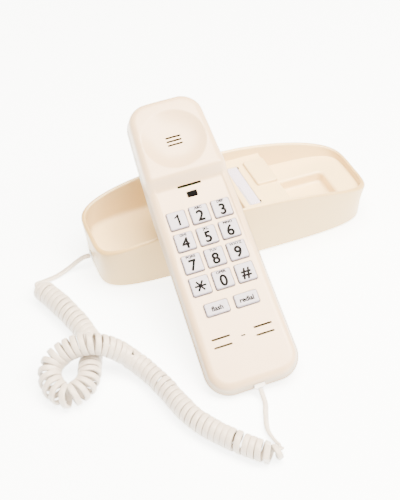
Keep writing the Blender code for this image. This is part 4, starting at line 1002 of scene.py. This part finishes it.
def key_cap(name, x, y, width, depth):
    """A cap with a hidden flange, soft top edges and a flat top."""
    flange_top, wide, r = -SHELL - GAP, 0.9 * MM, 0.75 * MM
    levels = [(flange_top - 0.8 * MM, width + 2 * wide, depth + 2 * wide, 1.8 * MM),
              (flange_top, width + 2 * wide, depth + 2 * wide, 1.8 * MM),
              (flange_top + 0.05 * MM, width, depth, 1.3 * MM)]
    for a in quarter(6):
        s = 2 * r * (1 - math.cos(a))
        levels.append((KEY_TOP - r + r * math.sin(a), width - s, depth - s, 1.3 * MM - s * 0.25))
    levels.append((KEY_TOP - 0.04 * MM, width * 0.62, depth * 0.62, 1.0 * MM))
    bm = bmesh.new()
    rounded_stack(bm, x, y, levels)
    bmesh.ops.recalc_face_normals(bm, faces=bm.faces)
    cap = finished(f"cap_{name}", bm, KEY_FINISH, HANDSET, 40, f"key_{name}")
    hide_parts(f"key_{name}")


def key_print(name, x, y):
    """The key's sign, with its small letters above it."""
    z = KEY_TOP - 0.02 * MM
    if name == "star":
        prints = [star_print(x, y - 0.4 * MM, z)]
    elif name == "1":
        prints = [one_print(x, y - 0.2 * MM, z)]
    elif name == "hash":
        prints = [text_mesh("#", 8.2 * MM, x, y - 0.4 * MM, z, 1.05, 0.34 * MM)]
    elif name in ("flash", "redial"):
        prints = [text_mesh(name, 3.6 * MM, x, y - 0.2 * MM, z, 1.0, 0.18 * MM)]
    else:
        drop = 1.2 * MM if name in LETTERS else 0.2 * MM
        prints = [text_mesh(name, 8.4 * MM, x, y - drop, z, 0.98, 0.34 * MM)]
        if name in LETTERS:
            prints.append(text_mesh(LETTERS[name], 2.0 * MM, x, y + 4.9 * MM, z, 1.15, 0.13 * MM))
    whole = bmesh.new()
    for bm in prints:
        piece = bpy.data.meshes.new("print")
        bm.to_mesh(piece)
        bm.free()
        whole.from_mesh(piece)
        bpy.data.meshes.remove(piece)
    label = finished(f"print_{name}", whole, INK_FINISH, HANDSET, 30, f"key_{name}")


def keys():
    for name, x, y, width, depth in key_places():
        key_cap(name, x, y, width, depth)
        key_print(name, x, y)


# ---- cord ----------------------------------------------------------------------------------------
def nearness(p, x, y, spread):
    """1 at the place (x, y) in millimetres, fading to 0 around it."""
    return math.exp(-((p.x - x * MM) ** 2 + (p.y - y * MM) ** 2) / (spread * MM) ** 2)


def loop_share(p):
    """The share of the loop's effect, where the turns are pulled open and fatter."""
    return nearness(p, -156, -105, 22)


def first_share(p):
    """The share of the close-wound stretch between the base and the loop, where the turns are fatter."""
    return nearness(p, -143, -38, 34)


def cord_axis():
    """The line that the cord winds about, and the first and the last of its points that hold turns."""
    tail_in, tail_out = [smooth_route([Vector(p) * MM for p in route], 1.0 * MM)
                         for route in (BASE_TAIL, HANDSET_TAIL)]
    coil = smooth_route([Vector(p) * MM for p in COIL_ROUTE], 0.18 * MM)
    for k, p in enumerate(coil):
        if p.z < 12 * MM:    # the loop closes up to a narrow eye
            p.x -= 5 * MM * nearness(p, -134, -99, 14)
        p.x += 5 * MM * nearness(p, -172, -108, 15)
        p.z += 1.5 * MM * loop_share(p) + 1.3 * MM * first_share(p) * ease(k / 60)
    loose_end = sum(1 for p in tail_out[:-1] if p.y < COIL_END_Y)
    return tail_in + coil + tail_out, len(tail_in), len(tail_in) + len(coil) - 1 + loose_end


def turn_radius(p, run, total):
    """Radius of the turns at a point of the axis: smaller at both ends, and never into the table."""
    radius = COIL_RADIUS * ease(run / (7 * MM)) * ease((total - run) / (15 * MM))
    radius *= 1 + 0.22 * loop_share(p) + 0.16 * first_share(p)
    radius = min(radius, p.z - CORD_THICKNESS / 2 - 0.25 * MM)
    return radius * (1 + 0.02 * math.sin(run * 290) + 0.015 * math.sin(run * 710 + 1))


def turn_pitch(p, run, total):
    """Room that one turn takes along the axis: uneven, with a gap near the end and wider in the loop."""
    loose = 1 + 0.10 * math.sin(run * 57) + 0.07 * math.sin(run * 131 + 2)
    loose += 0.55 * math.exp(-((run / total - 0.90) / 0.012) ** 2)
    loose += 0.25 * loop_share(p)
    loose += 0.9 * ease((run - total + 18 * MM) / (12 * MM))
    return COIL_PITCH * loose


def wound_path(axis, first, last):
    """The cord's own centre line, and at each of its points the way out from the axis."""
    normal = Vector((0, 0, 1))
    run, angle = 0.0, 0.0
    total = sum((q - p).length for p, q in zip(axis[first:last], axis[first + 1:last + 1]))
    path, radials = [], []
    for i, p in enumerate(axis):
        tangent = (axis[min(len(axis) - 1, i + 1)] - axis[max(0, i - 1)]).normalized()
        normal = (normal - tangent * normal.dot(tangent)).normalized()
        radial = normal * math.cos(angle) + tangent.cross(normal) * math.sin(angle)
        path.append(p + radial * (turn_radius(p, run, total) if first <= i <= last else 0.0))
        radials.append(radial)
        if first <= i < last:
            step = (axis[i + 1] - p).length
            angle += 2 * math.pi * step / turn_pitch(p, run, total)
            run += step
        elif i >= last:    # the plain end turns to lie flat
            angle += 0.15 * (round(angle / math.pi) * math.pi - angle)
    return path, radials


def curly_cord():
    """A flat cord wound in a long coil, with a plain stretch at each end, on one line from end to end."""
    path, radials = wound_path(*cord_axis())
    line = bpy.data.meshes.new("curly_cord")
    line.from_pydata(path, [(i, i + 1) for i in range(len(path) - 1)], [])
    across = line.attributes.new("across", 'FLOAT_VECTOR', 'POINT')
    across.data.foreach_set("vector", [v for radial in radials for v in radial])
    cord = bpy.data.objects.new("curly_cord", line)
    bpy.context.scene.collection.objects.link(cord)
    tree = Tree("cord_along_path", Cord_Width=CORD_WIDTH, Cord_Thickness=CORD_THICKNESS,
                Cord_Round=0.95 * MM)
    given = tree.given
    facing = tree.node("GeometryNodeInputNamedAttribute", {"data_type": 'FLOAT_VECTOR'}, {"Name": "across"})
    curve = tree.node("GeometryNodeMeshToCurve", None, {0: given["Geometry"]})
    curve = tree.node("GeometryNodeSetCurveNormal", {"mode": 'FREE'}, {"Curve": curve, "Normal": facing})
    outline = tree.rounded_profile(given["Cord Thickness"], given["Cord Width"], given["Cord Round"])
    swept = tree.node("GeometryNodeCurveToMesh", None,
                      {"Curve": curve, "Profile Curve": outline, "Fill Caps": True})
    tree.grow(cord, swept, CORD_FINISH)
    cord.data.shade_smooth()
    cord.data.set_sharp_from_angle(angle=math.radians(60))
    length = sum((q - p).length for p, q in zip(path, path[1:]))
    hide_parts("cord_tail_base", "cord_coil", "cord_tail_handset")
    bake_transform(cord)


def knob_ribs():
    """Fine finger ribs across the face of the ringer switch's knob."""
    tree = Tree("knob_ribs", Rib_Count=5, Rib_Pitch=1.0 * MM, Rib_Width=0.45 * MM, Rib_Height=3.0 * MM,
                Rib_Rise=0.5 * MM)
    given = tree.given
    rib = tree.node("GeometryNodeMeshCube", None,
                    {"Size": tree.vector(given["Rib Width"], given["Rib Rise"], given["Rib Height"])})
    seed = finished("knob_ribs", bmesh.new(), None)
    tree.grow(seed, tree.row(rib, given["Rib Count"], tree.vector(x=given["Rib Pitch"])), BLACK_FINISH)
    low, high = node_box("ringer_switch_knob")
    seed.data.transform(Matrix.Translation(((low.x + high.x) / 2 - 2 * MM, high.y, (low.z + high.z) / 2)))
    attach(seed, "ringer_knob")


def node_box(name):
    """Corners of a solid's box, in the shared frame."""
    obj = NODES[name]
    spots = [obj.matrix_world @ Vector(corner) for corner in obj.bound_box]
    return (Vector(min(p[i] for p in spots) for i in range(3)),
            Vector(max(p[i] for p in spots) for i in range(3)))


# ---- finishes of the pieces that keep their solids -------------------------------------------------
def dress():
    """Give every piece that keeps its solid its own finish."""
    finishes = {
        "base_bottom_cover": COVER_FINISH, "number_card": CARD_FINISH, "number_card_window": WINDOW_FINISH,
        "base_cord_plug": PLUG_FINISH, "handset_cord_plug": PLUG_FINISH, "receiver_gasket": FOAM_FINISH,
        "ringer_board": BOARD_FINISH, "circuit_board": BOARD_FINISH, "keypad_mat": RUBBER_FINISH,
        "microphone_boot": RUBBER_FINISH, "microphone": STEEL_FINISH, "base_weight": STEEL_FINISH,
        "handset_weight": STEEL_FINISH, "hook_plunger": PLUNGER_FINISH}
    for name, obj in NODES.items():
        if name.startswith("foot_"):
            finish = RUBBER_FINISH
        elif "screw" in name:
            finish = STEEL_FINISH
        else:
            finish = finishes.get(name, BLACK_FINISH)
        for slot in obj.material_slots:
            slot.material = finish


# ---- stage ---------------------------------------------------------------------------------------
def stage():
    """A pale glowing table, a soft warm room and three round lamps."""
    f = Finish("floor", 0.55, Emission_Color=(1.0, 1.0, 0.96, 1.0), Emission_Strength=4.6)
    f.into("Base Color", f.mix(f.noise(3.0), (0.72, 0.81, 0.91), (0.73, 0.82, 0.92)))
    f.bump(f.noise(40.0), 0.05 * MM, 0.2)
    bm = bmesh.new()
    bmesh.ops.create_grid(bm, x_segments=2, y_segments=2, size=12.0)
    floor = finished("floor", bm, f.material)

    world = bpy.data.worlds.new("studio")
    world.use_nodes = True
    world.node_tree.nodes["Background"].inputs[0].default_value = (1.0, 0.89, 0.75, 1.0)
    world.node_tree.nodes["Background"].inputs[1].default_value = 0.65
    bpy.context.scene.world = world
    area("key", (0.62, -0.62, 1.15), (0, -0.03, 0.02), 0.9, 92)
    area("fill", (-0.9, -0.9, 0.9), (0, -0.03, 0.02), 1.4, 6)
    area("top", (0.0, -0.1, 1.5), (0, -0.03, 0.0), 1.3, 155)


def aimed(name, data, place, aim):
    """Put a lamp or the camera at its place, turned to its aim."""
    obj = bpy.data.objects.new(name, data)
    obj.location = place
    obj.rotation_mode = 'QUATERNION'
    obj.rotation_quaternion = (Vector(aim) - Vector(place)).to_track_quat('-Z', 'Y')
    bpy.context.scene.collection.objects.link(obj)
    return obj


def area(name, place, aim, size, power):
    """A round lamp."""
    lamp = bpy.data.lights.new(name, 'AREA')
    lamp.shape = 'DISK'
    lamp.size = size
    lamp.energy = power
    lamp.color = (1.0, 0.88, 0.72)
    aimed(name, lamp, place, aim)


def camera():
    data = bpy.data.cameras.new("camera")
    data.lens = 70.84
    data.sensor_width = 36
    data.shift_x, data.shift_y = -0.0525, -0.08678
    data.clip_start, data.clip_end = 0.01, 20
    bpy.context.scene.camera = aimed("camera", data, (-0.2242, -0.5350, 0.5127), (0, 0, 0.025))


camera()
stage()
dress()
curly_cord()
base_housing()
handset_shells()
keys()
knob_ribs()
